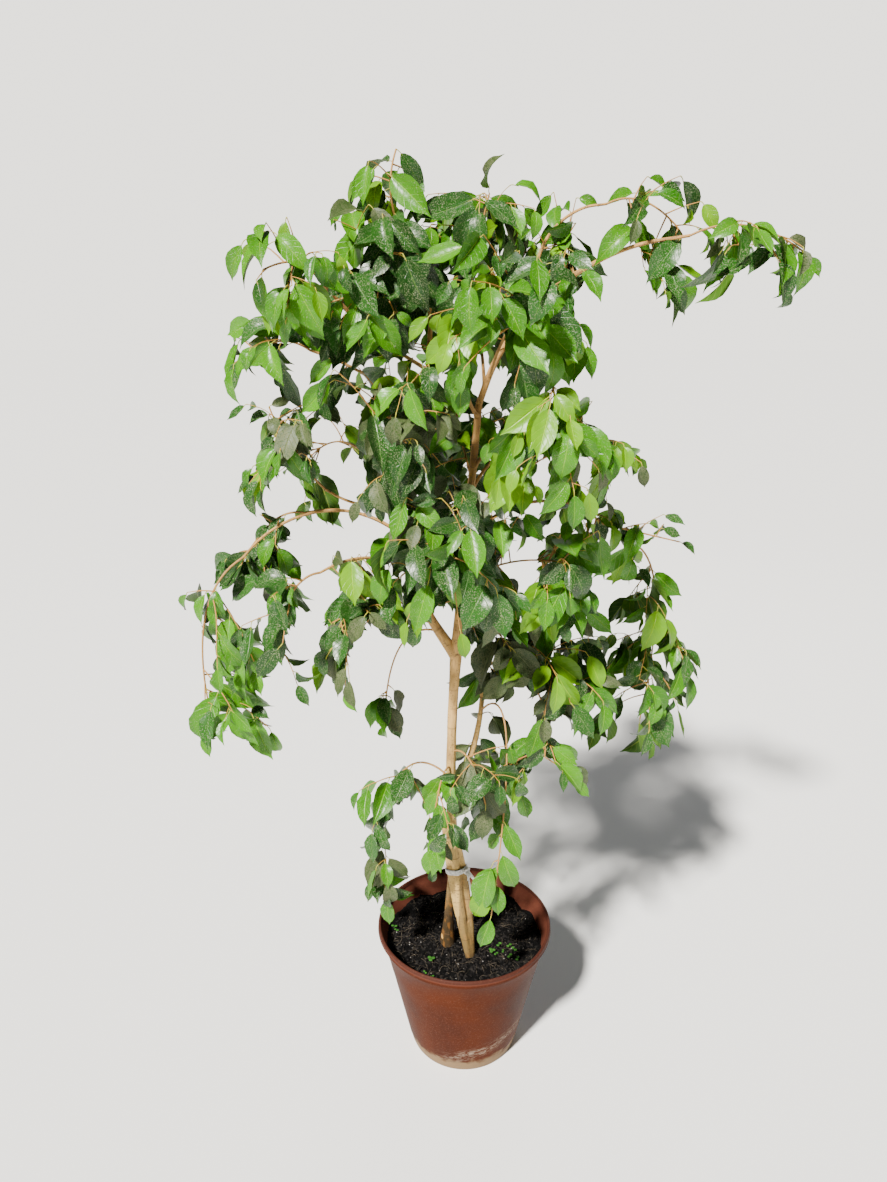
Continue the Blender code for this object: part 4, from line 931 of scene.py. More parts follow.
def named(tree: bpy.types.NodeTree, attribute: str, kind: str) -> bpy.types.NodeSocket:
    """The output that reads a named attribute in a geometry tree."""
    node = add_node(tree, "GeometryNodeInputNamedAttribute", {"Name": attribute}, data_type=kind)
    return node.outputs["Attribute"]


def paint_by(tree: bpy.types.NodeTree, geometry: bpy.types.NodeSocket, attribute: str,
             materials: Iterable[bpy.types.Material]) -> bpy.types.NodeSocket:
    """Sets each material where a whole-number attribute holds its place in the list.

    Args:
        tree: the geometry tree.
        geometry: the output to paint.
        attribute: the attribute's name.
        materials: the materials in order.

    Returns:
        The output with the painted geometry.
    """
    for number, material in enumerate(materials):
        chosen = add_node(tree, "FunctionNodeCompare", {2: named(tree, attribute, "INT"), 3: number}, data_type="INT",
                          operation="EQUAL")
        geometry = add_node(tree, "GeometryNodeSetMaterial", {"Geometry": geometry, "Selection": chosen.outputs[0],
                                                              "Material": material}).outputs[0]
    return geometry


def run_tree(name: str, mesh: bpy.types.Mesh, tree: bpy.types.NodeTree, inputs: dict[str, Any]) -> bpy.types.Object:
    """Runs a geometry tree on a mesh and keeps the result as a plain mesh object.

    Args:
        name: the piece's name.
        mesh: what the tree starts from.
        tree: the geometry tree.
        inputs: values by input label.

    Returns:
        The finished piece.
    """
    source = bpy.data.objects.new(name + "_source", mesh)
    bpy.context.scene.collection.objects.link(source)
    modifier = source.modifiers.new("grow", "NODES")
    modifier.node_group = tree
    for label, value in inputs.items():
        modifier[socket_id(tree, label)] = value
    graph = bpy.context.evaluated_depsgraph_get()
    made = bpy.data.meshes.new_from_object(source.evaluated_get(graph), preserve_all_data_layers=True,
                                           depsgraph=graph)
    source.modifiers.clear()
    bpy.data.objects.remove(source)
    bpy.data.meshes.remove(mesh)
    made.name = name
    piece = bpy.data.objects.new(name, made)
    bpy.context.scene.collection.objects.link(piece)
    return piece


def make_mesh(name: str, verts: np.ndarray, faces: Sequence[Sequence[int]] = (),
              edges: Sequence[tuple[int, int]] = (), **attributes: np.ndarray) -> bpy.types.Mesh:
    """A mesh from its points, faces or edges, with point attributes.

    Args:
        name: the mesh's name.
        verts: one row for each point.
        faces: point numbers of each face.
        edges: point numbers of each loose edge.
        attributes: one value or vector for each point, by attribute name.

    Returns:
        The new mesh.
    """
    mesh = bpy.data.meshes.new(name)
    mesh.from_pydata(np.asarray(verts, float).tolist(), list(edges), [list(face) for face in faces])
    for label, values in attributes.items():
        values = np.asarray(values)
        if values.ndim == 2:
            layer = mesh.attributes.new(label, "FLOAT_VECTOR", "POINT")
            layer.data.foreach_set("vector", values.astype(np.float32).ravel())
        elif values.dtype.kind == "i":
            layer = mesh.attributes.new(label, "INT", "POINT")
            layer.data.foreach_set("value", values.astype(np.int32))
        else:
            layer = mesh.attributes.new(label, "FLOAT", "POINT")
            layer.data.foreach_set("value", values.astype(np.float32))
    if len(faces):
        mesh.shade_smooth()
    return mesh


def add_piece(mesh: bpy.types.Mesh, *materials: bpy.types.Material) -> bpy.types.Object:
    """An object at the origin that shows a mesh in some materials."""
    for material in materials:
        mesh.materials.append(material)
    piece = bpy.data.objects.new(mesh.name, mesh)
    bpy.context.scene.collection.objects.link(piece)
    return piece


def seat(piece: bpy.types.Object, slot: str, *nodes: str) -> None:
    """Puts a piece on the body in the frame, in place of the solids it stands for.

    Args:
        piece: the finished piece.
        slot: the record's material slot; not used.
        nodes: the solids that it replaces.
    """
    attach(piece, BODY)
    if nodes:
        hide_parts(*nodes)
    LOG.info("%s: %d faces, stands for %s", piece.name, len(piece.data.polygons), ", ".join(nodes) or "no solid")


class SharedEffects:
    """Shader node groups that several finishes use."""

    def __init__(self) -> None:
        """Builds the mottle, speckle and vein groups."""
        self.mottle = self._mottle()
        self.speckle = self._speckle()
        self.veins = self._veins()

    @staticmethod
    def _mottle() -> bpy.types.NodeTree:
        """Soft uneven patches: a value from 0 to 1 that drifts over the surface."""
        tree = new_tree("soft_mottle", "ShaderNodeTree",
                        [("Vector", "NodeSocketVector"), ("Scale", "NodeSocketFloat", 20.0),
                         ("Contrast", "NodeSocketFloat", 1.0)], [("Value", "NodeSocketFloat")])
        given, result = ends(tree)
        cloud = add_node(tree, "ShaderNodeTexNoise", {"Vector": given.outputs["Vector"],
                                                      "Scale": given.outputs["Scale"], "Detail": 4.0})
        centred = add_node(tree, "ShaderNodeMath", {0: cloud.outputs[0], 1: 0.5}, operation="SUBTRACT")
        spread = add_node(tree, "ShaderNodeMath", {0: centred.outputs[0], 1: given.outputs["Contrast"]},
                          operation="MULTIPLY")
        shifted = add_node(tree, "ShaderNodeMath", {0: spread.outputs[0], 1: 0.5}, operation="ADD", use_clamp=True)
        tree.links.new(shifted.outputs[0], result.inputs["Value"])
        return tree

    @staticmethod
    def _speckle() -> bpy.types.NodeTree:
        """Small sharp specks: a mask from 0 to 1, with a wider amount for more of them."""
        tree = new_tree("fine_speckle", "ShaderNodeTree",
                        [("Vector", "NodeSocketVector"), ("Scale", "NodeSocketFloat", 200.0),
                         ("Amount", "NodeSocketFloat", 0.3)], [("Mask", "NodeSocketFloat")])
        given, result = ends(tree)
        grains = add_node(tree, "ShaderNodeTexNoise", {"Vector": given.outputs["Vector"],
                                                       "Scale": given.outputs["Scale"], "Detail": 2.0,
                                                       "Roughness": 0.7})
        start = add_node(tree, "ShaderNodeMath", {0: 0.75, 1: given.outputs["Amount"]}, operation="SUBTRACT")
        stop = add_node(tree, "ShaderNodeMath", {0: start.outputs[0], 1: 0.10}, operation="ADD")
        mask = add_node(tree, "ShaderNodeMapRange", {"Value": grains.outputs[0], "From Min": start.outputs[0],
                                                     "From Max": stop.outputs[0]}, interpolation_type="SMOOTHSTEP")
        tree.links.new(mask.outputs[0], result.inputs["Mask"])
        return tree

    @staticmethod
    def _veins() -> bpy.types.NodeTree:
        """A leaf's midrib and side veins, from its own across and along coordinates."""
        tree = new_tree("leaf_veins", "ShaderNodeTree",
                        [("Blade", "NodeSocketVector"), ("Rib Width", "NodeSocketFloat", 0.05),
                         ("Vein Count", "NodeSocketFloat", 13.0)],
                        [("Rib", "NodeSocketFloat"), ("Veins", "NodeSocketFloat")])
        given, result = ends(tree)
        parts = add_node(tree, "ShaderNodeSeparateXYZ", {0: given.outputs["Blade"]})
        aside = add_node(tree, "ShaderNodeMath", {0: parts.outputs["X"]}, operation="ABSOLUTE")
        rib = add_node(tree, "ShaderNodeMapRange", {"Value": aside.outputs[0], "From Min": 0.0,
                                                    "From Max": given.outputs["Rib Width"], "To Min": 1.0,
                                                    "To Max": 0.0}, interpolation_type="SMOOTHSTEP")
        rising = add_node(tree, "ShaderNodeMath", {0: aside.outputs[0], 1: 0.28}, operation="MULTIPLY")
        lane = add_node(tree, "ShaderNodeMath", {0: parts.outputs["Y"], 1: rising.outputs[0]}, operation="SUBTRACT")
        turns = add_node(tree, "ShaderNodeMath", {0: lane.outputs[0], 1: given.outputs["Vein Count"]},
                         operation="MULTIPLY")
        within = add_node(tree, "ShaderNodeMath", {0: turns.outputs[0], 1: 1.0}, operation="PINGPONG")
        veins = add_node(tree, "ShaderNodeMapRange", {"Value": within.outputs[0], "From Min": 0.0,
                                                      "From Max": 0.16, "To Min": 1.0, "To Max": 0.0},
                         interpolation_type="SMOOTHSTEP")
        tree.links.new(rib.outputs[0], result.inputs["Rib"])
        tree.links.new(veins.outputs[0], result.inputs["Veins"])
        return tree


class Painter:
    """A Principled material under construction, with short calls for the nodes it needs."""

    def __init__(self, name: str) -> None:
        """Starts a material with this name."""
        self.material = bpy.data.materials.new(name)
        self.material.use_nodes = True
        self.tree = self.material.node_tree
        self.shader = self.tree.nodes["Principled BSDF"]

    def node(self, kind: str, inputs: dict[Any, Any] | None = None, **settings: Any) -> bpy.types.Node:
        """Adds a node to the material."""
        return add_node(self.tree, kind, inputs, **settings)

    def group(self, tree: bpy.types.NodeTree, output: str, **inputs: Any) -> bpy.types.NodeSocket:
        """Places a shared group and gives one of its outputs; underscores stand for spaces."""
        labels = {label.replace("_", " "): value for label, value in inputs.items()}
        node = self.tree.nodes.new("ShaderNodeGroup")
        node.node_tree = tree
        for label, value in labels.items():
            if isinstance(value, bpy.types.NodeSocket):
                self.tree.links.new(value, node.inputs[label])
            else:
                node.inputs[label].default_value = value
        return node.outputs[output]

    def place(self) -> bpy.types.NodeSocket:
        """Object coordinates."""
        return self.node("ShaderNodeTexCoord").outputs["Object"]

    def attribute(self, name: str, output: str = "Vector") -> bpy.types.NodeSocket:
        """A mesh attribute."""
        return self.node("ShaderNodeAttribute", attribute_name=name).outputs[output]

    def stretched(self, vector: bpy.types.NodeSocket, scale: tuple[float, float, float]) -> bpy.types.NodeSocket:
        """Coordinates stretched along their axes."""
        return self.node("ShaderNodeMapping", {"Vector": vector, "Scale": scale}).outputs[0]

    def mix(self, factor: Any, low: Any, high: Any) -> bpy.types.NodeSocket:
        """A colour between two colours."""
        low, high = [(*value, 1.0) if isinstance(value, tuple) else value for value in (low, high)]
        return self.node("ShaderNodeMix", {0: factor, 6: low, 7: high}, data_type="RGBA").outputs[2]

    def scaled(self, value: Any, factor: Any, plus: Any = 0.0) -> bpy.types.NodeSocket:
        """A value times a factor plus an amount."""
        return self.node("ShaderNodeMath", {0: value, 1: factor, 2: plus}, operation="MULTIPLY_ADD").outputs[0]

    def ramp(self, value: Any, start: float, stop: float) -> bpy.types.NodeSocket:
        """0 below the start, 1 above the stop and smooth between them."""
        return self.node("ShaderNodeMapRange", {"Value": value, "From Min": start, "From Max": stop},
                         interpolation_type="SMOOTHSTEP").outputs[0]

    def finish(self, colour: Any, roughness: Any, height: Any = None, depth: float = 0.001,
               strength: float = 0.5, shine: float = 0.5) -> bpy.types.Material:
        """Connects the colour, roughness and relief, sets the shine, and gives the material."""
        self.shader.inputs["Specular IOR Level"].default_value = shine
        for label, value in (("Base Color", colour), ("Roughness", roughness)):
            if isinstance(value, bpy.types.NodeSocket):
                self.tree.links.new(value, self.shader.inputs[label])
            else:
                self.shader.inputs[label].default_value = value
        if height is not None:
            bump = self.node("ShaderNodeBump", {"Height": height, "Distance": depth, "Strength": strength})
            self.tree.links.new(bump.outputs[0], self.shader.inputs["Normal"])
        return self.material


@dataclass(frozen=True)
class LeafFinish:
    """The upper side of a leaf: its green, its gloss and the dust on it."""

    name: str
    deep: tuple[float, float, float]
    light: tuple[float, float, float]
    rib: tuple[float, float, float]
    roughness: float
    dust: float
    dust_colour: tuple[float, float, float] = (0.28, 0.30, 0.17)

    def build(self, effects: SharedEffects) -> bpy.types.Material:
        """The material of these leaves.

        Args:
            effects: the shared shader groups.

        Returns:
            The material.
        """
        paint = Painter(self.name)
        blade = paint.attribute("blade")
        tone = paint.attribute("tone", "Fac")
        patches = paint.group(effects.mottle, "Value", Vector=paint.place(), Scale=60.0, Contrast=1.6)
        shade = paint.scaled(patches, 0.45, paint.scaled(tone, 0.75, -0.1))
        green = paint.mix(shade, self.deep, self.light)
        veins = paint.group(effects.veins, "Veins", Blade=blade)
        rib = paint.group(effects.veins, "Rib", Blade=blade, Rib_Width=0.065)
        green = paint.mix(paint.scaled(veins, 0.18), green, self.rib)
        green = paint.mix(paint.scaled(rib, 0.55), green, self.rib)
        specks = paint.group(effects.speckle, "Mask", Vector=paint.place(), Scale=560.0, Amount=self.dust)
        film = paint.group(effects.mottle, "Value", Vector=paint.place(), Scale=35.0, Contrast=2.5)
        dusted = paint.scaled(specks, paint.scaled(film, 0.60, 0.15))
        colour = paint.mix(dusted, green, self.dust_colour)
        roughness = paint.scaled(dusted, 0.35, self.roughness)
        relief = paint.scaled(veins, -0.35, paint.scaled(rib, -0.8, paint.scaled(patches, 0.9)))
        return paint.finish(colour, roughness, relief, depth=0.0012, strength=0.6, shine=0.28)


@dataclass(frozen=True)
class UndersideFinish:
    """The underside of a leaf: paler and duller, with its midrib standing out."""

    name: str = "leaf_underside"
    deep: tuple[float, float, float] = (0.022, 0.070, 0.006)
    light: tuple[float, float, float] = (0.075, 0.18, 0.010)
    rib: tuple[float, float, float] = (0.22, 0.30, 0.04)
    roughness: float = 0.55

    def build(self, effects: SharedEffects) -> bpy.types.Material:
        """The material of the undersides."""
        paint = Painter(self.name)
        blade = paint.attribute("blade")
        green = paint.mix(paint.attribute("tone", "Fac"), self.deep, self.light)
        veins = paint.group(effects.veins, "Veins", Blade=blade)
        rib = paint.group(effects.veins, "Rib", Blade=blade, Rib_Width=0.09)
        colour = paint.mix(paint.scaled(veins, 0.3), green, self.rib)
        colour = paint.mix(paint.scaled(rib, 0.8), colour, self.rib)
        relief = paint.scaled(veins, 0.5, rib)
        return paint.finish(colour, self.roughness, relief, depth=0.0010, strength=0.6, shine=0.25)


@dataclass(frozen=True)
class TwigFinish:
    """Twigs and petioles: yellow-green while young, orange-tan when older."""

    name: str = "twig_skin"
    petiole: tuple[float, float, float] = (0.34, 0.34, 0.018)
    middle: tuple[float, float, float] = (0.40, 0.19, 0.026)
    old: tuple[float, float, float] = (0.36, 0.18, 0.040)

    def build(self, effects: SharedEffects) -> bpy.types.Material:
        """The material of twigs and petioles."""
        paint = Painter(self.name)
        age = paint.attribute("age", "Fac")
        skin = paint.mix(paint.ramp(age, 0.05, 0.4), self.petiole, self.middle)
        skin = paint.mix(paint.ramp(age, 0.5, 1.0), skin, self.old)
        specks = paint.group(effects.speckle, "Mask", Vector=paint.place(), Scale=700.0, Amount=0.25)
        colour = paint.mix(paint.scaled(specks, 0.30), skin, (0.46, 0.36, 0.20))
        relief = paint.group(effects.mottle, "Value", Vector=paint.place(), Scale=900.0, Contrast=2.0)
        return paint.finish(colour, 0.6, relief, depth=0.0006, strength=0.5)


@dataclass(frozen=True)
class BarkFinish:
    """Pale smooth bark: dark pores, faint furrows, thin dark rings at old nodes, stains strong enough to stand in for
    painted dappled shade, a painted shadow line in the crease between two stems, and painted shade on the rear leg and
    on the right of the front slab, darker at the foot.
    """

    name: str = "bark"
    low: tuple[float, float, float] = (0.54, 0.355, 0.115)
    high: tuple[float, float, float] = (0.50, 0.275, 0.085)
    # The colour of stains, also standing in for painted dappled shade.
    stain_and_dappled_shade: tuple[float, float, float] = (0.24, 0.13, 0.045)
    dark: tuple[float, float, float] = (0.12, 0.065, 0.030)
    # Painted shade: the colour laid on the rear leg, on the right of the front slab and at the foot, with ochre
    # streaks through it.
    aged: tuple[float, float, float] = (0.050, 0.032, 0.013)
    ochre: tuple[float, float, float] = (0.26, 0.105, 0.018)
    sawn: tuple[float, float, float] = (0.60, 0.32, 0.085)

    def build(self, effects: SharedEffects) -> bpy.types.Material:
        """The material of the trunk and the boughs.

        Args:
            effects: the shared shader groups.

        Returns:
            The material.
        """
        paint = Painter(self.name)
        grain = paint.attribute("grain")
        height = paint.node("ShaderNodeSeparateXYZ", {0: paint.place()}).outputs["Z"]
        patches = paint.group(effects.mottle, "Value", Vector=paint.place(), Scale=30.0, Contrast=3.6)
        fine = paint.group(effects.mottle, "Value", Vector=paint.stretched(grain, (1.0, 1.0, 0.10)), Scale=520.0,
                           Contrast=3.0)
        pores = paint.group(effects.speckle, "Mask", Vector=paint.stretched(grain, (0.6, 0.6, 1.3)), Scale=300.0,
                            Amount=0.16)
        skin = paint.mix(paint.ramp(height, 0.45, 1.15), self.low, self.high)
        # Large strong patches: real stains and painted dappled shade together.
        skin = paint.mix(paint.scaled(paint.ramp(patches, 0.55, 1.0), 0.55), skin, self.stain_and_dappled_shade)
        streaks = paint.group(effects.mottle, "Value", Vector=paint.stretched(grain, (1.0, 1.0, 0.3)), Scale=150.0,
                              Contrast=4.0)
        # Painted shade on the rear leg and on the right of the front slab, streaked with ochre; the darker foot uses
        # it too.
        aged = paint.mix(paint.scaled(paint.ramp(streaks, 0.55, 1.0), 0.7), self.aged, self.ochre)
        skin = paint.mix(paint.attribute("aged", "Fac"), skin, aged)
        skin = paint.mix(paint.scaled(paint.ramp(fine, 0.6, 0.95), 0.35), skin, self.dark)
        skin = paint.mix(paint.scaled(pores, 0.75), skin, self.dark)
        # Dark rings at old nodes, and on the trunk also the painted shadow line in the crease between two stems.
        skin = paint.mix(paint.scaled(paint.attribute("ring", "Fac"), 0.85), skin, self.dark)
        colour = paint.mix(paint.attribute("sawn", "Fac"), skin, self.sawn)
        relief = paint.scaled(fine, -0.7, paint.scaled(pores, -0.6))
        return paint.finish(colour, paint.scaled(patches, 0.15, 0.62), relief, depth=0.0012, strength=0.5, shine=0.3)


@dataclass(frozen=True)
class PotFinish:
    """Sun-faded terracotta-coloured plastic with a worn pale foot, scuffs, a darker rim and an inner wall painted
    lighter as if lit.
    """

    name: str = "pot_plastic"
    body: tuple[float, float, float] = (0.026, 0.0040, 0.0005)
    faded: tuple[float, float, float] = (0.068, 0.0125, 0.0013)
    rim: tuple[float, float, float] = (0.020, 0.0060, 0.0046)
    # Painted light: the inner wall's colour, lighter than the body as if lit.
    inner: tuple[float, float, float] = (0.110, 0.034, 0.021)
    foot: tuple[float, float, float] = (0.21, 0.14, 0.074)
    scuff: tuple[float, float, float] = (0.28, 0.21, 0.155)

    def build(self, effects: SharedEffects) -> bpy.types.Material:
        """The material of the pot.

        Args:
            effects: the shared shader groups.

        Returns:
            The material.
        """
        paint = Painter(self.name)
        where = paint.place()
        parts = paint.node("ShaderNodeSeparateXYZ", {0: where})
        height, side = parts.outputs["Z"], parts.outputs["X"]
        clouds = paint.group(effects.mottle, "Value", Vector=where, Scale=9.0, Contrast=2.2)
        colour = paint.mix(clouds, self.body, self.faded)
        streaks = paint.group(effects.mottle, "Value", Vector=paint.stretched(where, (1.0, 1.0, 0.15)), Scale=70.0,
                              Contrast=2.4)
        colour = paint.mix(paint.scaled(streaks, 0.16), colour, (0.085, 0.018, 0.0055))
        # Painted light on the inner wall near the top.
        colour = paint.mix(paint.attribute("inner", "Fac"), colour, self.inner)
        colour = paint.mix(paint.scaled(paint.ramp(height, 0.263, 0.268), 0.65), colour, self.rim)
        ragged = paint.scaled(paint.group(effects.mottle, "Value", Vector=where, Scale=55.0, Contrast=2.0), 0.020)
        low = paint.node("ShaderNodeMath", {0: height, 1: ragged}, operation="ADD").outputs[0]
        foot = paint.node("ShaderNodeMath", {0: 1.0, 1: paint.ramp(low, 0.030, 0.046)}, operation="SUBTRACT")
        colour = paint.mix(paint.scaled(foot.outputs[0], 0.9), colour, self.foot)
        level = paint.scaled(side, -0.28, paint.scaled(height, 1.0, -0.048))
        slanted = paint.node("ShaderNodeCombineXYZ", {0: side, 1: parts.outputs["Y"], 2: paint.scaled(level, 5.0)})
        scratches = paint.group(effects.speckle, "Mask", Vector=slanted.outputs[0], Scale=120.0, Amount=0.30)
        worn = paint.group(effects.mottle, "Value", Vector=slanted.outputs[0], Scale=30.0, Contrast=5.0)
        scratches = paint.scaled(scratches, worn)
        away = paint.node("ShaderNodeMath", {0: level}, operation="ABSOLUTE").outputs[0]
        band = paint.scaled(paint.ramp(away, 0.004, 0.022), -0.85, 0.85)
        scuffed = paint.scaled(scratches, paint.scaled(band, paint.ramp(side, -0.09, 0.02)))
        colour = paint.mix(scuffed, colour, self.scuff)
        dust = paint.group(effects.speckle, "Mask", Vector=where, Scale=330.0, Amount=0.20)
        colour = paint.mix(paint.scaled(dust, 0.14), colour, (0.21, 0.09, 0.05))
        roughness = paint.scaled(clouds, 0.10, paint.scaled(scuffed, 0.20, 0.52))
        relief = paint.scaled(dust, 0.25, paint.scaled(clouds, 0.5, paint.scaled(scratches, -0.3)))
        return paint.finish(colour, roughness, relief, depth=0.0008, strength=0.35, shine=0.07)


@dataclass(frozen=True)
class SoilFinish:
    """Damp black potting soil."""

    name: str = "soil"
    wet: tuple[float, float, float] = (0.0006, 0.0006, 0.0006)
    dry: tuple[float, float, float] = (0.0040, 0.0038, 0.0037)

    def build(self, effects: SharedEffects) -> bpy.types.Material:
        """The material of the soil."""
        paint = Painter(self.name)
        where = paint.place()
        clods = paint.group(effects.mottle, "Value", Vector=where, Scale=90.0, Contrast=3.0)
        colour = paint.mix(clods, self.wet, self.dry)
        grit = paint.group(effects.speckle, "Mask", Vector=where, Scale=640.0, Amount=0.22)
        colour = paint.mix(paint.scaled(grit, 0.30), colour, (0.045, 0.042, 0.040))
        relief = paint.scaled(grit, 0.5, clods)
        return paint.finish(colour, 0.95, relief, depth=0.004, strength=0.9, shine=0.08)


@dataclass(frozen=True)
class PlainFinish:
    """A simple mottled finish for small things: chips, fibres, seedlings and the tie."""

    name: str
    low: tuple[float, float, float]
    high: tuple[float, float, float]
    roughness: float
    scale: float = 200.0
    depth: float = 0.001

    def build(self, effects: SharedEffects) -> bpy.types.Material:
        """The material."""
        paint = Painter(self.name)
        patches = paint.group(effects.mottle, "Value", Vector=paint.place(), Scale=self.scale, Contrast=2.5)
        colour = paint.mix(patches, self.low, self.high)
        return paint.finish(colour, self.roughness, patches, depth=self.depth, strength=0.7, shine=0.2)


@dataclass
class Palette:
    """Every material of the plant."""

    effects: SharedEffects = field(default_factory=SharedEffects)

    def __post_init__(self) -> None:
        """Builds all the finishes."""
        leaves = {
            Tint.YOUNG: LeafFinish("leaf_young", (0.054, 0.168, 0.0001), (0.152, 0.355, 0.0001), (0.32, 0.51, 0.002),
                                   0.34, 0.04),
            Tint.FRESH: LeafFinish("leaf_fresh", (0.012, 0.090, 0.0006), (0.070, 0.255, 0.0012), (0.24, 0.44, 0.02),
                                   0.32, 0.18),
            Tint.DARK: LeafFinish("leaf_dark", (0.003, 0.024, 0.002), (0.016, 0.092, 0.006), (0.10, 0.22, 0.03),
                                  0.30, 0.22),
            Tint.DUSTY: LeafFinish("leaf_dusty", (0.010, 0.030, 0.005), (0.036, 0.074, 0.012), (0.12, 0.16, 0.05),
                                   0.42, 0.33, (0.150, 0.155, 0.078)),
        }
        self.leaves = {tint: finish.build(self.effects) for tint, finish in leaves.items()}
        self.underside = UndersideFinish().build(self.effects)
        self.twigs = TwigFinish().build(self.effects)
        self.bark = BarkFinish().build(self.effects)
        self.pot = PotFinish().build(self.effects)
        self.soil = SoilFinish().build(self.effects)
        self.chips = PlainFinish("bark_chips", (0.0025, 0.0022, 0.0020), (0.016, 0.0135, 0.012), 0.9).build(self.effects)
        self.fibres = PlainFinish("fibres", (0.030, 0.024, 0.017), (0.13, 0.104, 0.074), 0.85).build(self.effects)
        self.grit = PlainFinish("pale_grit", (0.10, 0.095, 0.088), (0.30, 0.28, 0.26), 0.8).build(self.effects)
        self.seedlings = PlainFinish("seedlings", (0.014, 0.070, 0.008), (0.045, 0.17, 0.018), 0.6).build(self.effects)
        self.tie = PlainFinish("tie_fabric", (0.52, 0.51, 0.48), (0.88, 0.87, 0.83), 0.85, 320.0).build(self.effects)


def sweep(path: Path, sides: int) -> tuple[np.ndarray, list[tuple[int, ...]], np.ndarray]:
    """A closed tube along a path, each ring square to it.

    Args:
        path: the centreline and its radii.
        sides: points in each ring.

    Returns:
        The points, the faces, and for each point its place round and along the tube in metres.
    """
    points, radii = path.points, path.radii
    tangents = np.gradient(points, axis=0)
    tangents /= np.linalg.norm(tangents, axis=1)[:, None]
    across = np.array(Vector(tangents[0]).orthogonal().normalized())
    angles = np.linspace(0.0, 2.0 * math.pi, sides, endpoint=False)
    verts, grain = [], []
    for point, radius, tangent, along in zip(points, radii, tangents, path.along()):
        across = unit(across - tangent * (across @ tangent))
        upward = np.cross(tangent, across)
        ring = np.cos(angles)[:, None] * across + np.sin(angles)[:, None] * upward
        verts.append(point + ring * radius)
        grain.append(np.stack([np.cos(angles) * radius, np.sin(angles) * radius, np.full(sides, along)], axis=1))
    rows = len(points)
    faces = [(row * sides + side, row * sides + (side + 1) % sides, (row + 1) * sides + (side + 1) % sides,
              (row + 1) * sides + side) for row in range(rows - 1) for side in range(sides)]
    faces.append(tuple(reversed(range(sides))))
    faces.append(tuple(range((rows - 1) * sides, rows * sides)))
    return np.concatenate(verts), faces, np.concatenate(grain)


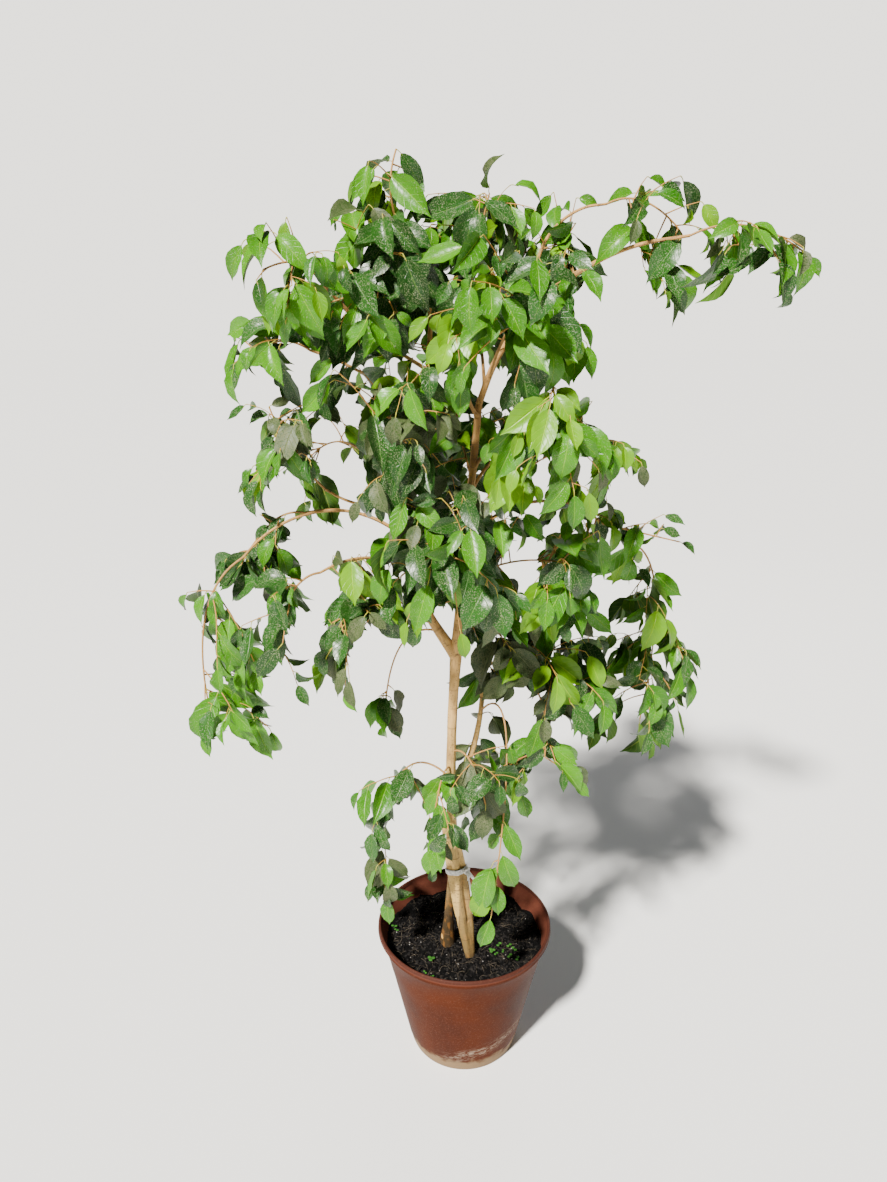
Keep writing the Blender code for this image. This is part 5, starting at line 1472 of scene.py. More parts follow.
@dataclass
class Woodwork:
    """The trunk, side stems and boughs, with bark relief."""

    limbs: dict[str, Path]
    palette: Palette
    pitch: float = 0.0025
    furrow_depth: float = 0.055
    ring_pitch: float = 0.030
    ring_height: float = 0.035
    ring_width: float = 0.0011
    collar: float = 0.55
    voxel: float = 0.0013
    web: float = 0.0066
    fork: str = "left_stem"
    fork_swell: float = 0.34
    fork_reach: float = 0.050
    fork_arm: float = 0.110
    # Painted shade: the rear leg and its knob are painted darker downwards over this reach, and the right of the front
    # slab below the tie at the next strength.
    rear_leg_shade_reach: float = 0.16
    right_slab_shade: float = 0.56
    # X where the front slab turns from lit to painted shade, and where a painted shadow line runs in the crease
    # between the main stem and the right leg; the two heights bound that line.
    shade_seam: float = -0.0116
    shade_seam_heights: tuple[float, float] = (0.262, 0.335)
    rear_leg_swell: float = 0.45
    # How far above the soil the stems are painted darker.
    foot_darkening: float = 0.020
    knob_height: float = 0.247
    knob_reach: tuple[float, float, float] = (-0.011, -0.007, 0.004)

    def relief(self, grain: np.ndarray, seed: float) -> tuple[np.ndarray, np.ndarray]:
        """How far the bark stands out, as a share of the stem's radius, and where its rings are.

        Args:
            grain: place round and along the stem, in metres.
            seed: shifts the pattern, so that no two stems match.

        Returns:
            The relief and the ring mask at each point.
        """
        folds = np.array([noise.noise(Vector((x * 260.0 + seed, y * 260.0, z * 22.0))) for x, y, z in grain])
        lumps = np.array([noise.noise(Vector((x * 60.0, y * 60.0 + seed, z * 30.0))) for x, y, z in grain])
        wander = np.array([noise.noise(Vector((seed, z * 9.0, 3.7))) for z in grain[:, 2]])
        strength = np.array([noise.noise(Vector((seed, 8.1, z * 55.0))) for z in grain[:, 2]])
        phase = (grain[:, 2] / self.ring_pitch + wander * 1.4) % 1.0
        rings = np.exp(-((phase - 0.5) * self.ring_pitch / self.ring_width) ** 2)
        rings *= np.clip(3.0 * strength, 0.0, 1.0)
        return self.furrow_depth * (folds + lumps) + self.ring_height * rings, rings

    def limb(self, name: str, seed: float) -> bpy.types.Object:
        """A side stem or bough, swelling into its parent at its foot.

        Args:
            name: the limb's name.
            seed: shifts its bark.

        Returns:
            The finished piece.
        """
        limb = next(item for item in LIMBS if item.name == name)
        path = self.limbs[name].finer(self.pitch)
        parent = place(self.limbs[limb.parent].radii[:, None] * np.ones(3), limb.at)[0][0]
        if limb.at < 1.0:
            beyond = np.clip((path.along() - parent) / (path.radii[0] * 2.5), 0.0, 1.0)
            swell = min(self.collar, parent / path.radii[0] * 0.9 - 1.0)
            if name == self.fork:
                beyond = np.clip(path.along() / self.fork_arm, 0.0, 1.0)
                swell = self.fork_swell
            path.radii = path.radii * (1.0 + max(swell, 0.0) * (1.0 - beyond) ** 2)
        sides = 20 if limb.thick > 0.010 else 12
        verts, faces, grain = sweep(path, sides)
        centres = np.repeat(path.points, sides, axis=0)
        stand, rings = self.relief(grain, seed)
        verts = verts + (verts - centres) * stand[:, None]
        mesh = make_mesh("bark_" + name, verts, faces, grain=grain, ring=rings)
        return add_piece(mesh, self.palette.bark)

    def trunk(self) -> bpy.types.Object:
        """The main stem grown together with its legs and the sawn stub.

        Returns:
            The finished piece.
        """
        trunk = self.limbs["trunk"]
        above = trunk.points[:, 2] - trunk.points[0, 2]
        below = trunk.points[0] - trunk.first * CUT_DEPTH
        fork = place(trunk.points, next(limb.at for limb in LIMBS if limb.name == self.fork))[0][2]
        swell = 1.0 + self.fork_swell * np.exp(-((trunk.points[:, 2] - fork) / self.fork_reach) ** 2)
        radii = trunk.radii * flare(above, FRONT_FLARE) * swell
        main = Path(np.vstack([below, trunk.points]), np.concatenate([radii[:1], radii]), trunk.first)
        right_leg, rear_leg, stub = bundle(trunk)
        rear_leg.radii *= 1.0 + np.linspace(self.rear_leg_swell, 0.0, len(rear_leg.radii))
        web = Path((main.points[:3] + right_leg.points[:3]) / 2, np.full(3, self.web), trunk.first)
        knob = at_height(rear_leg.points, self.knob_height)
        knob = Path(np.array([knob, knob + np.array(self.knob_reach)]), np.array((0.0068, 0.0056)), DOWN)
        stems = [path.finer(0.004) for path in (main, web, right_leg, rear_leg, knob, stub)]
        verts, faces, count = [], [], 0
        for stem in stems:
            found, sides, _ = sweep(stem, 24)
            faces += [tuple(index + count for index in face) for face in sides]
            verts.append(found)
            count += len(found)
        rough = add_piece(make_mesh("bark_trunk_rough", np.concatenate(verts), faces))
        remesh = rough.modifiers.new("fuse", "REMESH")
        remesh.mode = "VOXEL"
        remesh.voxel_size = self.voxel
        ease = rough.modifiers.new("ease", "SMOOTH")
        ease.factor = 0.5
        ease.iterations = 6
        graph = bpy.context.evaluated_depsgraph_get()
        mesh = bpy.data.meshes.new_from_object(rough.evaluated_get(graph))
        bpy.data.objects.remove(rough)
        mesh.name = "bark_trunk"
        self.dress_trunk(mesh, stems)
        return add_piece(mesh, self.palette.bark)

    def dress_trunk(self, mesh: bpy.types.Mesh, stems: list[Path]) -> None:
        """Gives the fused trunk its bark relief and the attributes that its finish reads.

        Args:
            mesh: the fused stems.
            stems: the paths that they were made from.
        """
        places = np.empty(len(mesh.vertices) * 3, np.float32)
        mesh.vertices.foreach_get("co", places)
        places = places.reshape(-1, 3).astype(float)
        best = np.full(len(places), 1e9)
        grain, centres, number_of = np.zeros((len(places), 3)), np.zeros((len(places), 3)), np.zeros(len(places))
        for number, stem in enumerate(stems):
            for start in range(0, len(places), 4000):
                part = slice(start, start + 4000)
                apart = np.linalg.norm(places[part, None] - stem.points[None], axis=2)
                nearest = np.argmin(apart, axis=1)
                over = apart[np.arange(len(nearest)), nearest] - stem.radii[nearest]
                won = over < best[part]
                best[part] = np.where(won, over, best[part])
                offset = places[part] - stem.points[nearest]
                found = np.stack([offset[:, 0], offset[:, 1], places[part, 2]], axis=1)
                grain[part] = np.where(won[:, None], found, grain[part])
                centres[part] = np.where(won[:, None], stem.points[nearest], centres[part])
                number_of[part] = np.where(won, number, number_of[part])
        stand = np.zeros(len(places))
        rings = np.zeros(len(places))
        for number in np.unique(number_of):
            own = number_of == number
            stand[own], rings[own] = self.relief(grain[own], number * 7.3)
        *_, rear_leg, knob, stub = stems
        on_stub = number_of == len(stems) - 1
        sawn = on_stub & (places[:, 2] > stub.points[-1, 2] - 0.0015)
        sawn |= (number_of == len(stems) - 2) & (places[:, 0] < knob.points[-1, 0] + 0.0015)
        # Painted shade: the rear leg and its knob darken downwards from the rear leg's top, and below the tie the
        # front slab right of the dividing line is painted as if in shade.
        aged = np.clip((rear_leg.points[-1, 2] - places[:, 2]) / self.rear_leg_shade_reach, 0.0, 1.0) ** 0.5
        shaded = np.clip((TIE_HEIGHT - places[:, 2]) / 0.02, 0.0, 1.0)
        shaded = shaded * np.clip((places[:, 0] - self.shade_seam) / 0.002 + 0.5, 0.0, 1.0)
        aged = np.where(number_of >= len(stems) - 3, aged, self.right_slab_shade * shaded)
        # Every stem but the stub is darker towards the soil.
        darker_at_foot = np.clip(1.0 - (places[:, 2] - SOIL_TOP) / self.foot_darkening, 0.0, 1.0) ** 0.5
        aged = np.where(on_stub, 0.0, np.maximum(aged, 0.8 * darker_at_foot))
        # A painted shadow line in the crease between the main stem and the right leg, laid in with the dark rings.
        shade_seam = np.exp(-((places[:, 0] - self.shade_seam) / 0.0011) ** 2)
        shade_seam[(places[:, 2] < self.shade_seam_heights[0]) | (places[:, 2] > self.shade_seam_heights[1])] = 0.0
        rings = np.where(number_of < len(stems) - 3, np.maximum(rings, shade_seam), rings)
        stand[sawn] = 0.0
        outward = places - centres
        outward[:, 2] = 0.0
        places = places + outward * stand[:, None]
        mesh.vertices.foreach_set("co", places.astype(np.float32).ravel())
        for label, kind, values in (("grain", "FLOAT_VECTOR", grain), ("ring", "FLOAT", rings),
                                    ("sawn", "FLOAT", sawn.astype(float)), ("aged", "FLOAT", aged)):
            layer = mesh.attributes.new(label, kind, "POINT")
            layer.data.foreach_set("vector" if kind == "FLOAT_VECTOR" else "value",
                                   values.astype(np.float32).ravel())
        mesh.shade_smooth()
        mesh.update()

    def build(self) -> None:
        """Makes every woody piece and seats it in place of its solid."""
        seat(self.trunk(), "bark", "trunk")
        for number, limb in enumerate(LIMBS[1:], 1):
            seat(self.limb(limb.name, number * 3.1), "bark", limb.name)


@dataclass(frozen=True)
class LeafShape:
    """One pattern for a leaf blade, one metre long: how it arches, folds and waves."""

    arch: float
    fold: float
    wave: float
    phase: float
    skew: float
    stations: tuple[float, ...] = (0.0, 0.05, 0.16, 0.32, 0.48, 0.64, 0.78, 0.88, 1.0)
    widths: tuple[float, ...] = (0.05, 0.35, 0.73, 0.97, 1.0, 0.86, 0.54, 0.19, 0.012)
    lanes: tuple[float, ...] = (-1.0, -0.55, 0.0, 0.55, 1.0)
    thick: float = 0.006

    def build(self, number: int) -> bpy.types.Object:
        """The blade as a thin closed leaf along +Y, one unit wide, with its upper side towards +Z.

        Args:
            number: tells the patterns apart.

        Returns:
            The pattern object, which isn't part of the plant.
        """
        rows, lanes = len(self.stations), len(self.lanes)
        upper = np.zeros((rows, lanes, 3))
        blade = np.zeros((rows, lanes, 3))
        along, drop, before = 0.0, 0.0, 0.0
        for row, (share, wide) in enumerate(zip(self.stations, self.widths)):
            slope = self.arch * (share - 0.25)
            along += (share - before) * math.cos(slope)
            drop += (share - before) * math.sin(slope)
            before = share
            for lane, aside in enumerate(self.lanes):
                ripple = self.wave * math.sin(2.0 * math.pi * 2.2 * share + self.phase + (1.3 if aside > 0 else 0.0))
                lift = wide * (self.fold * abs(aside) - 0.05 * aside ** 2) + ripple * aside ** 2 * wide
                bend = self.skew * math.sin(math.pi * share)
                upper[row, lane] = (aside * wide * 0.5 + bend, along, lift * 0.5 - drop)
                blade[row, lane] = (aside, share, 0.0)
        index = np.arange(rows * lanes).reshape(rows, lanes)
        inner = np.zeros((rows, lanes), bool)
        inner[1:-1, 1:-1] = True
        below = index.copy()
        below[inner] = np.arange(rows * lanes, rows * lanes + inner.sum())
        lower = upper[inner] - np.array((0.0, 0.0, self.thick))
        verts = np.concatenate([upper.reshape(-1, 3), lower])
        places = np.concatenate([blade.reshape(-1, 3), blade[inner]])
        faces, under = [], []
        for row in range(rows - 1):
            for lane in range(lanes - 1):
                for grid, flipped in ((index, False), (below, True)):
                    corners = [grid[row, lane], grid[row, lane + 1], grid[row + 1, lane + 1], grid[row + 1, lane]]
                    faces.append(corners[:1] + corners[:0:-1] if flipped else corners)
                    under.append(flipped)
        mesh = make_mesh(f"leaf_pattern_{number}", verts, faces, blade=places)
        layer = mesh.attributes.new("underside", "BOOLEAN", "FACE")
        layer.data.foreach_set("value", under)
        margin = set(index[~inner].tolist())
        for edge in mesh.edges:
            one, two = edge.vertices
            step = abs(one - two)
            edge.use_edge_sharp = one in margin and two in margin and step in (1, lanes)
        return bpy.data.objects.new(mesh.name, mesh)


class Foliage:
    """The leaves and twigs of every mass, each mass a leaf piece and a twig piece."""

    PATTERNS = (
        LeafShape(0.5, 0.30, 0.025, 0.0, 0.00),
        LeafShape(0.9, 0.22, 0.040, 1.1, 0.03),
        LeafShape(0.2, 0.36, 0.020, 2.3, -0.03),
        LeafShape(1.2, 0.26, 0.045, 3.0, 0.02),
        LeafShape(-0.3, 0.26, 0.035, 4.2, -0.02),
        LeafShape(0.7, 0.42, 0.025, 5.0, 0.04),
        LeafShape(1.6, 0.18, 0.040, 0.7, -0.04),
        LeafShape(0.4, 0.14, 0.060, 2.0, 0.03),
    )
    TWIG_SIDES = 6

    def __init__(self, limbs: dict[str, Path], palette: Palette, habit: LeafHabit) -> None:
        """Makes the leaf patterns and the two geometry trees.

        Args:
            limbs: every limb's path.
            palette: the materials.
            habit: the sizes of the leaves.
        """
        self.palette = palette
        self.crown = Crown(limbs, habit)
        self.patterns = bpy.data.collections.new("leaf_patterns")
        for number, shape in enumerate(self.PATTERNS):
            self.patterns.objects.link(shape.build(number))
        self.leaf_tree = self._leaf_tree()
        self.twig_tree = self._twig_tree()

    def _leaf_tree(self) -> bpy.types.NodeTree:
        """The tree that hangs a leaf pattern on each point, turned and sized by its attributes."""
        tree = new_tree("hang_leaves", "GeometryNodeTree",
                        [("Points", "NodeSocketGeometry"), ("Patterns", "NodeSocketCollection"),
                         ("Scale", "NodeSocketFloat", 1.0)], [("Leaves", "NodeSocketGeometry")])
        given, result = ends(tree)
        patterns = add_node(tree, "GeometryNodeCollectionInfo",
                            {"Collection": given.outputs["Patterns"], "Separate Children": True,
                             "Reset Children": True})
        turn = add_node(tree, "FunctionNodeEulerToRotation", {0: named(tree, "turn", "FLOAT_VECTOR")})
        size = add_node(tree, "ShaderNodeVectorMath",
                        {0: named(tree, "size", "FLOAT_VECTOR"), "Scale": given.outputs["Scale"]}, operation="SCALE")
        hung = add_node(tree, "GeometryNodeInstanceOnPoints",
                        {"Points": given.outputs["Points"], "Instance": patterns.outputs[0], "Pick Instance": True,
                         "Instance Index": named(tree, "pattern", "INT"), "Rotation": turn.outputs[0],
                         "Scale": size.outputs[0]})
        leaves = add_node(tree, "GeometryNodeRealizeInstances", {"Geometry": hung.outputs[0]}).outputs[0]
        leaves = paint_by(tree, leaves, "tint", [self.palette.leaves[tint] for tint in Tint])
        leaves = add_node(tree, "GeometryNodeSetMaterial",
                          {"Geometry": leaves, "Selection": named(tree, "underside", "BOOLEAN"),
                           "Material": self.palette.underside}).outputs[0]
        tree.links.new(leaves, result.inputs["Leaves"])
        return tree

    def _twig_tree(self) -> bpy.types.NodeTree:
        """The tree that turns chains of points into round twigs, as thick as their attribute says."""
        tree = new_tree("round_twigs", "GeometryNodeTree",
                        [("Chains", "NodeSocketGeometry"), ("Sides", "NodeSocketInt", 6)],
                        [("Twigs", "NodeSocketGeometry")])
        given, result = ends(tree)
        curves = add_node(tree, "GeometryNodeMeshToCurve", {"Mesh": given.outputs["Chains"]})
        ring = add_node(tree, "GeometryNodeCurvePrimitiveCircle",
                        {"Resolution": given.outputs["Sides"], "Radius": 1.0})
        tubes = add_node(tree, "GeometryNodeCurveToMesh",
                         {"Curve": curves.outputs[0], "Profile Curve": ring.outputs[0],
                          "Scale": named(tree, "thick", "FLOAT"), "Fill Caps": True})
        joined = add_node(tree, "GeometryNodeRealizeInstances", {"Geometry": tubes.outputs[0]})
        smooth = add_node(tree, "GeometryNodeSetShadeSmooth", {"Geometry": joined.outputs[0]})
        painted = add_node(tree, "GeometryNodeSetMaterial",
                           {"Geometry": smooth.outputs[0], "Material": self.palette.twigs})
        tree.links.new(painted.outputs[0], result.inputs["Twigs"])
        return tree

    def leaf_points(self, grown: Growth) -> bpy.types.Mesh:
        """One point for each leaf, with what the leaf tree needs to know about it.

        Args:
            grown: what the mass grew.

        Returns:
            A mesh of loose points.
        """
        rng = np.random.default_rng(1000 + len(grown.blades))
        turns, sizes = [], []
        for blade in grown.blades:
            frame = Matrix((blade.across, blade.axis, blade.normal)).transposed()
            turns.append(tuple(frame.to_euler("XYZ")))
            sizes.append((blade.width, blade.length, blade.length * rng.uniform(0.8, 1.2)))
        tints = list(Tint)
        return make_mesh("leaf_points", np.array([blade.root for blade in grown.blades]),
                         turn=np.array(turns), size=np.array(sizes),
                         pattern=rng.integers(0, len(self.PATTERNS), len(turns)),
                         tint=np.array([tints.index(blade.tint) for blade in grown.blades]),
                         tone=np.array([blade.tone for blade in grown.blades]))

    @staticmethod
    def chains(paths: list[Path], ages: list[float]) -> bpy.types.Mesh:
        """Twig centrelines as chains of edges.

        Args:
            paths: the twigs.
            ages: how old each is.

        Returns:
            A mesh of points and edges with thickness and age.
        """
        verts, edges, thick, age, count = [], [], [], [], 0
        for path, old in zip(paths, ages):
            verts.append(path.points)
            thick.append(path.radii)
            age.append(np.linspace(old, old * 0.55, len(path.points)))
            edges += [(count + step, count + step + 1) for step in range(len(path.points) - 1)]
            count += len(path.points)
        return make_mesh("chains", np.concatenate(verts), edges=edges, thick=np.concatenate(thick),
                         age=np.concatenate(age))

    @staticmethod
    def petiole(blade: Blade) -> Path:
        """The short stalk from the twig to a leaf, which runs on into the leaf's midrib.

        Args:
            blade: the leaf.

        Returns:
            The stalk's path.
        """
        share = np.linspace(0.0, 1.0, 5)[:, None]
        bow = (blade.twig + blade.root) / 2 - blade.axis * 0.001 + blade.normal * 0.002
        stalk = blade.twig * (1 - share) ** 2 + bow * 2 * share * (1 - share) + blade.root * share ** 2
        points = np.vstack([stalk, blade.root + blade.axis * blade.length * 0.10 - blade.normal * 0.0004])
        return Path(points, np.linspace(0.0008, 0.0005, len(points)), unit(points[1] - points[0]))

    def build(self) -> None:
        """Grows every mass and seats its pieces in place of its solid."""
        total = 0
        for mass in MASSES:
            grown = self.crown.grow(mass)
            total += len(grown.blades)
            slot = "leaf_" + mass.tint
            leaves = run_tree("leaves_" + mass.name, self.leaf_points(grown), self.leaf_tree,
                              {"Patterns": self.patterns})
            seat(leaves, slot, mass.name)
            paths = [twig.path.finer(0.010) for twig in grown.twigs]
            paths += [self.petiole(blade) for blade in grown.blades]
            ages = [twig.age for twig in grown.twigs] + [0.0] * len(grown.blades)
            twigs = run_tree("twigs_" + mass.name, self.chains(paths, ages), self.twig_tree,
                             {"Sides": self.TWIG_SIDES})
            seat(twigs, slot, mass.name)
        for pattern in list(self.patterns.objects):
            bpy.data.objects.remove(pattern)
        bpy.data.collections.remove(self.patterns)
        LOG.info("the crown has %d leaves", total)


@dataclass
class Pot:
    """The plastic pot: a thin tapered wall with a worn foot band and a rolled rim."""

    palette: Palette
    sides: int = 144
    wall_steps: int = 26
    wobble: float = 0.0006
    stacking_height: float = 0.186
    stacking_step: float = 0.0005

    @staticmethod
    def radius(height: float) -> float:
        """The outer radius of the wall above the foot band."""
        share = max(0.0, (height - POT_FLARE_START) / (POT_HEIGHT - POT_RIM_HEIGHT - POT_FLARE_START))
        return POT_BODY_RADIUS + POT_TAPER * (height - POT_BAND_HEIGHT) + POT_FLARE * share ** POT_FLARE_POWER

    def outline(self) -> list[tuple[float, float]]:
        """Radius and height from the middle of the underside, round the rim and down to the floor.

        Returns:
            The half outline of the pot.
        """
        top = POT_HEIGHT - POT_RIM_HEIGHT
        band = POT_BODY_RADIUS - POT_BAND_STEP
        outline = [(0.0, 0.0), (0.05, 0.0), (POT_FOOT_RADIUS - 0.004, 0.0), (POT_FOOT_RADIUS - 0.001, 0.0004),
                   (POT_FOOT_RADIUS, 0.002)]
        outline += [(POT_FOOT_RADIUS + (band - POT_FOOT_RADIUS) * min(1.0, share * 1.15) ** 0.8,
                     0.002 + (POT_BAND_HEIGHT - 0.0035) * share) for share in (0.2, 0.4, 0.6, 0.8, 1.0)]
        outline.append((POT_BODY_RADIUS, POT_BAND_HEIGHT))
        for height in np.linspace(POT_BAND_HEIGHT + 0.002, top, self.wall_steps):
            step = self.stacking_step if height > self.stacking_height else 0.0
            outline.append((self.radius(height) + step, height))
        lip = (POT_RIM_RADIUS - 0.0032, top + 0.0058)
        outline += [(lip[0] + 0.0032 * math.cos(angle), lip[1] + 0.0042 * math.sin(angle))
                    for angle in np.radians((-50.0, -20.0, 10.0, 40.0, 70.0, 95.0, 120.0, 150.0))]
        outline += [(self.radius(height) - POT_WALL, height)
                    for height in np.linspace(top, POT_BAND_HEIGHT, self.wall_steps)]
        return outline + [(POT_FOOT_RADIUS - POT_WALL - 0.001, POT_FLOOR), (0.0, POT_FLOOR)]

    def build(self) -> None:
        """Turns the outline and seats the pot."""
        verts, faces = turned(self.outline(), self.sides)
        angle = np.arctan2(verts[:, 1], verts[:, 0])
        away = np.hypot(verts[:, 0], verts[:, 1])
        uneven = self.wobble * (verts[:, 2] / POT_HEIGHT) * (np.sin(2.0 * angle + 0.6) + 0.5 * np.sin(5.0 * angle))
        scale = np.where(away > 1e-6, 1.0 + uneven / np.maximum(away, 0.02), 1.0)
        verts[:, :2] *= scale[:, None]
        wall = np.array([self.radius(height) for height in verts[:, 2]])
        # Marks the inner wall above 0.15 m, which its finish paints lighter as painted light.
        inner = np.where((away < wall - POT_WALL * 0.6) & (verts[:, 2] > 0.15), 1.0, 0.0)
        seat(add_piece(make_mesh("pot_shell", verts, faces, inner=inner), self.palette.pot), "pot_plastic", "pot")


def turned(outline: Sequence[tuple[float, float]], sides: int) -> tuple[np.ndarray, list[tuple[int, ...]]]:
    """A closed solid of revolution about Z.

    Args:
        outline: radius and height pairs that start and end on the axis.
        sides: points in each ring.

    Returns:
        The points and the faces.
    """
    verts: list[tuple[float, float, float]] = []
    rings: list[list[int]] = []
    for radius, height in outline:
        if radius < 1e-6:
            rings.append([len(verts)])
            verts.append((0.0, 0.0, height))
            continue
        rings.append(list(range(len(verts), len(verts) + sides)))
        verts += [(radius * math.cos(2 * math.pi * side / sides), radius * math.sin(2 * math.pi * side / sides),
                   height) for side in range(sides)]
    faces = []
    for lower, upper in zip(rings, rings[1:]):
        for side in range(sides):
            after = (side + 1) % sides
            corners = (lower[side % len(lower)], lower[after % len(lower)], upper[after % len(upper)],
                       upper[side % len(upper)])
            faces.append(tuple(dict.fromkeys(corners)))
    return np.array(verts), faces


@dataclass
class SoilBed:
    """The soil with its clods, and the chips, fibres, grit and seedlings on it."""

    palette: Palette
    sides: int = 200
    rings: int = 84
    clod_height: float = 0.0045
    chip_count: int = 2200
    seedling_places: tuple[tuple[float, float, float], ...] = (
        (0.053, -0.047, 1.4), (0.068, -0.027, 1.3), (0.061, -0.053, 1.0), (0.088, -0.027, 1.2),
        (0.087, -0.060, 1.3), (0.097, -0.041, 1.3), (0.101, -0.067, 1.2), (0.075, -0.042, 0.9),
        (-0.065, -0.069, 1.5), (-0.141, 0.024, 1.2), (-0.136, 0.014, 1.0), (-0.076, -0.100, 0.9),
        (-0.063, -0.110, 0.9))

    @staticmethod
    def level(x: float, y: float) -> float:
        """The height of the solid soil's top, level where the stems stand."""
        clods = math.sin(61 * x + 1.3) * math.cos(53 * y) + 0.6 * math.sin(97 * x - 71 * y)
        from_seat = math.hypot(x, y - SOIL_SEAT_Y) - SOIL_SEAT_RADIUS
        share = min(1.0, max(0.0, from_seat / 0.03))
        return SOIL_TOP + SOIL_CLOD * share * clods / 1.6

    def height(self, x: float, y: float) -> float:
        """The height of the crumbly soil surface."""
        crumbs = noise.turbulence(Vector((x, y, 0.3)) * 75.0, 5, False, noise_basis="PERLIN_ORIGINAL")
        lumps = noise.noise(Vector((x, y, 5.0)) * 38.0)
        return self.level(x, y) + self.clod_height * (crumbs + lumps - 0.55)

    def bed(self) -> bpy.types.Object:
        """The soil: a crumbly top on a plug that fills the pot.

        Returns:
            The finished piece.
        """
        edge = Pot.radius(SOIL_TOP) - POT_WALL + 0.0008
        outline = [(0.0, POT_FLOOR + 0.0005), (POT_FOOT_RADIUS - 0.006, POT_FLOOR + 0.0005)]
        outline += [(Pot.radius(height) - POT_WALL - 0.0008, height) for height in (POT_BAND_HEIGHT, 0.12, 0.20)]
        first = 1 + self.sides * (len(outline) - 1)
        shares = np.linspace(1.0, 0.0, self.rings + 1)
        outline += [(edge * share, SOIL_TOP) for share in shares[:-1]] + [(0.0, SOIL_TOP)]
        verts, faces = turned(outline, self.sides)
        for number in range(first, len(verts)):
            x, y, _ = verts[number]
            verts[number, 2] = self.height(x, y)
        return add_piece(make_mesh("soil_bed", verts, faces), self.palette.soil)

    def litter_patterns(self) -> bpy.types.Collection:
        """Small chips, fibres and grit to scatter.

        Returns:
            A collection of pattern objects, which aren't part of the plant.
        """
        rng = np.random.default_rng(41)
        collection = bpy.data.collections.new("litter_patterns")
        for number in range(3):
            size = rng.uniform(0.7, 1.3, 3) * (0.0021, 0.0016, 0.0010)
            corners = np.array([(x, y, z) for z in (-1, 1) for x, y in ((-1, -1), (1, -1), (1, 1), (-1, 1))], float)
            corners = corners * size * rng.uniform(0.7, 1.1, corners.shape)
            faces = [(3, 2, 1, 0), (4, 5, 6, 7), (0, 1, 5, 4), (1, 2, 6, 5), (2, 3, 7, 6), (3, 0, 4, 7)]
            mesh = make_mesh(f"litter_a_chip_{number}", corners, faces)
            collection.objects.link(bpy.data.objects.new(mesh.name, mesh))
        for number in range(4):
            share = np.linspace(0.0, 1.0, 9)
            bow = rng.uniform(0.05, 0.3)
            length = rng.uniform(0.010, 0.024)
            points = np.stack([(share - 0.5) * length, bow * length * share * (1 - share),
                               0.08 * length * np.sin(share * rng.uniform(3.0, 7.0))], axis=1)
            verts, faces, _ = sweep(Path(points, np.linspace(0.0003, 0.00015, 9), points[1]), 4)
            mesh = make_mesh(f"litter_b_fibre_{number}", verts, faces)
            collection.objects.link(bpy.data.objects.new(mesh.name, mesh))
        verts, faces = turned([(0.0, -0.0007), (0.0009, -0.0003), (0.0010, 0.0003), (0.0005, 0.0008),
                               (0.0, 0.0009)], 7)
        mesh = make_mesh("litter_c_grit", verts, faces)
        collection.objects.link(bpy.data.objects.new(mesh.name, mesh))
        return collection

    def litter_tree(self) -> bpy.types.NodeTree:
        """The tree that puts a randomly turned pattern on each point."""
        tree = new_tree("scatter_litter", "GeometryNodeTree",
                        [("Points", "NodeSocketGeometry"), ("Patterns", "NodeSocketCollection"),
                         ("Seed", "NodeSocketInt", 7), ("Smallest", "NodeSocketFloat", 0.6),
                         ("Largest", "NodeSocketFloat", 1.5)], [("Litter", "NodeSocketGeometry")])
        given, result = ends(tree)
        patterns = add_node(tree, "GeometryNodeCollectionInfo",
                            {"Collection": given.outputs["Patterns"], "Separate Children": True,
                             "Reset Children": True})
        turn = add_node(tree, "FunctionNodeRandomValue",
                        {0: (-0.5, -0.5, 0.0), 1: (0.5, 0.5, 2.0 * math.pi), "Seed": given.outputs["Seed"]},
                        data_type="FLOAT_VECTOR")
        size = add_node(tree, "FunctionNodeRandomValue",
                        {2: given.outputs["Smallest"], 3: given.outputs["Largest"], "Seed": given.outputs["Seed"]},
                        data_type="FLOAT")
        rotation = add_node(tree, "FunctionNodeEulerToRotation", {0: turn.outputs[0]})
        put = add_node(tree, "GeometryNodeInstanceOnPoints",
                       {"Points": given.outputs["Points"], "Instance": patterns.outputs[0], "Pick Instance": True,
                        "Instance Index": named(tree, "pattern", "INT"), "Rotation": rotation.outputs[0],
                        "Scale": size.outputs[1]})
        real = add_node(tree, "GeometryNodeRealizeInstances", {"Geometry": put.outputs[0]}).outputs[0]
        kinds = (self.palette.chips, self.palette.fibres, self.palette.grit)
        tree.links.new(paint_by(tree, real, "kind", kinds), result.inputs["Litter"])
        return tree

    def litter(self) -> bpy.types.Object:
        """Chips, fibres and grit lying on the soil.

        Returns:
            The finished piece.
        """
        rng = np.random.default_rng(17)
        edge = Pot.radius(SOIL_TOP) - POT_WALL - 0.010
        away = edge * np.sqrt(rng.uniform(0.0, 1.0, self.chip_count))
        angle = rng.uniform(0.0, 2.0 * math.pi, self.chip_count)
        x, y = away * np.cos(angle), away * np.sin(angle)
        z = np.array([self.height(a, b) + 0.0006 for a, b in zip(x, y)])
        pattern = rng.choice(8, self.chip_count, p=(0.23, 0.23, 0.23, 0.065, 0.065, 0.065, 0.065, 0.05))
        points = make_mesh("litter_points", np.stack([x, y, z], axis=1), pattern=pattern,
                           kind=np.digitize(pattern, (3, 7)))
        patterns = self.litter_patterns()
        piece = run_tree("soil_litter", points, self.litter_tree(), {"Patterns": patterns, "Seed": 7})
        for item in list(patterns.objects):
            bpy.data.objects.remove(item)
        bpy.data.collections.remove(patterns)
        return piece

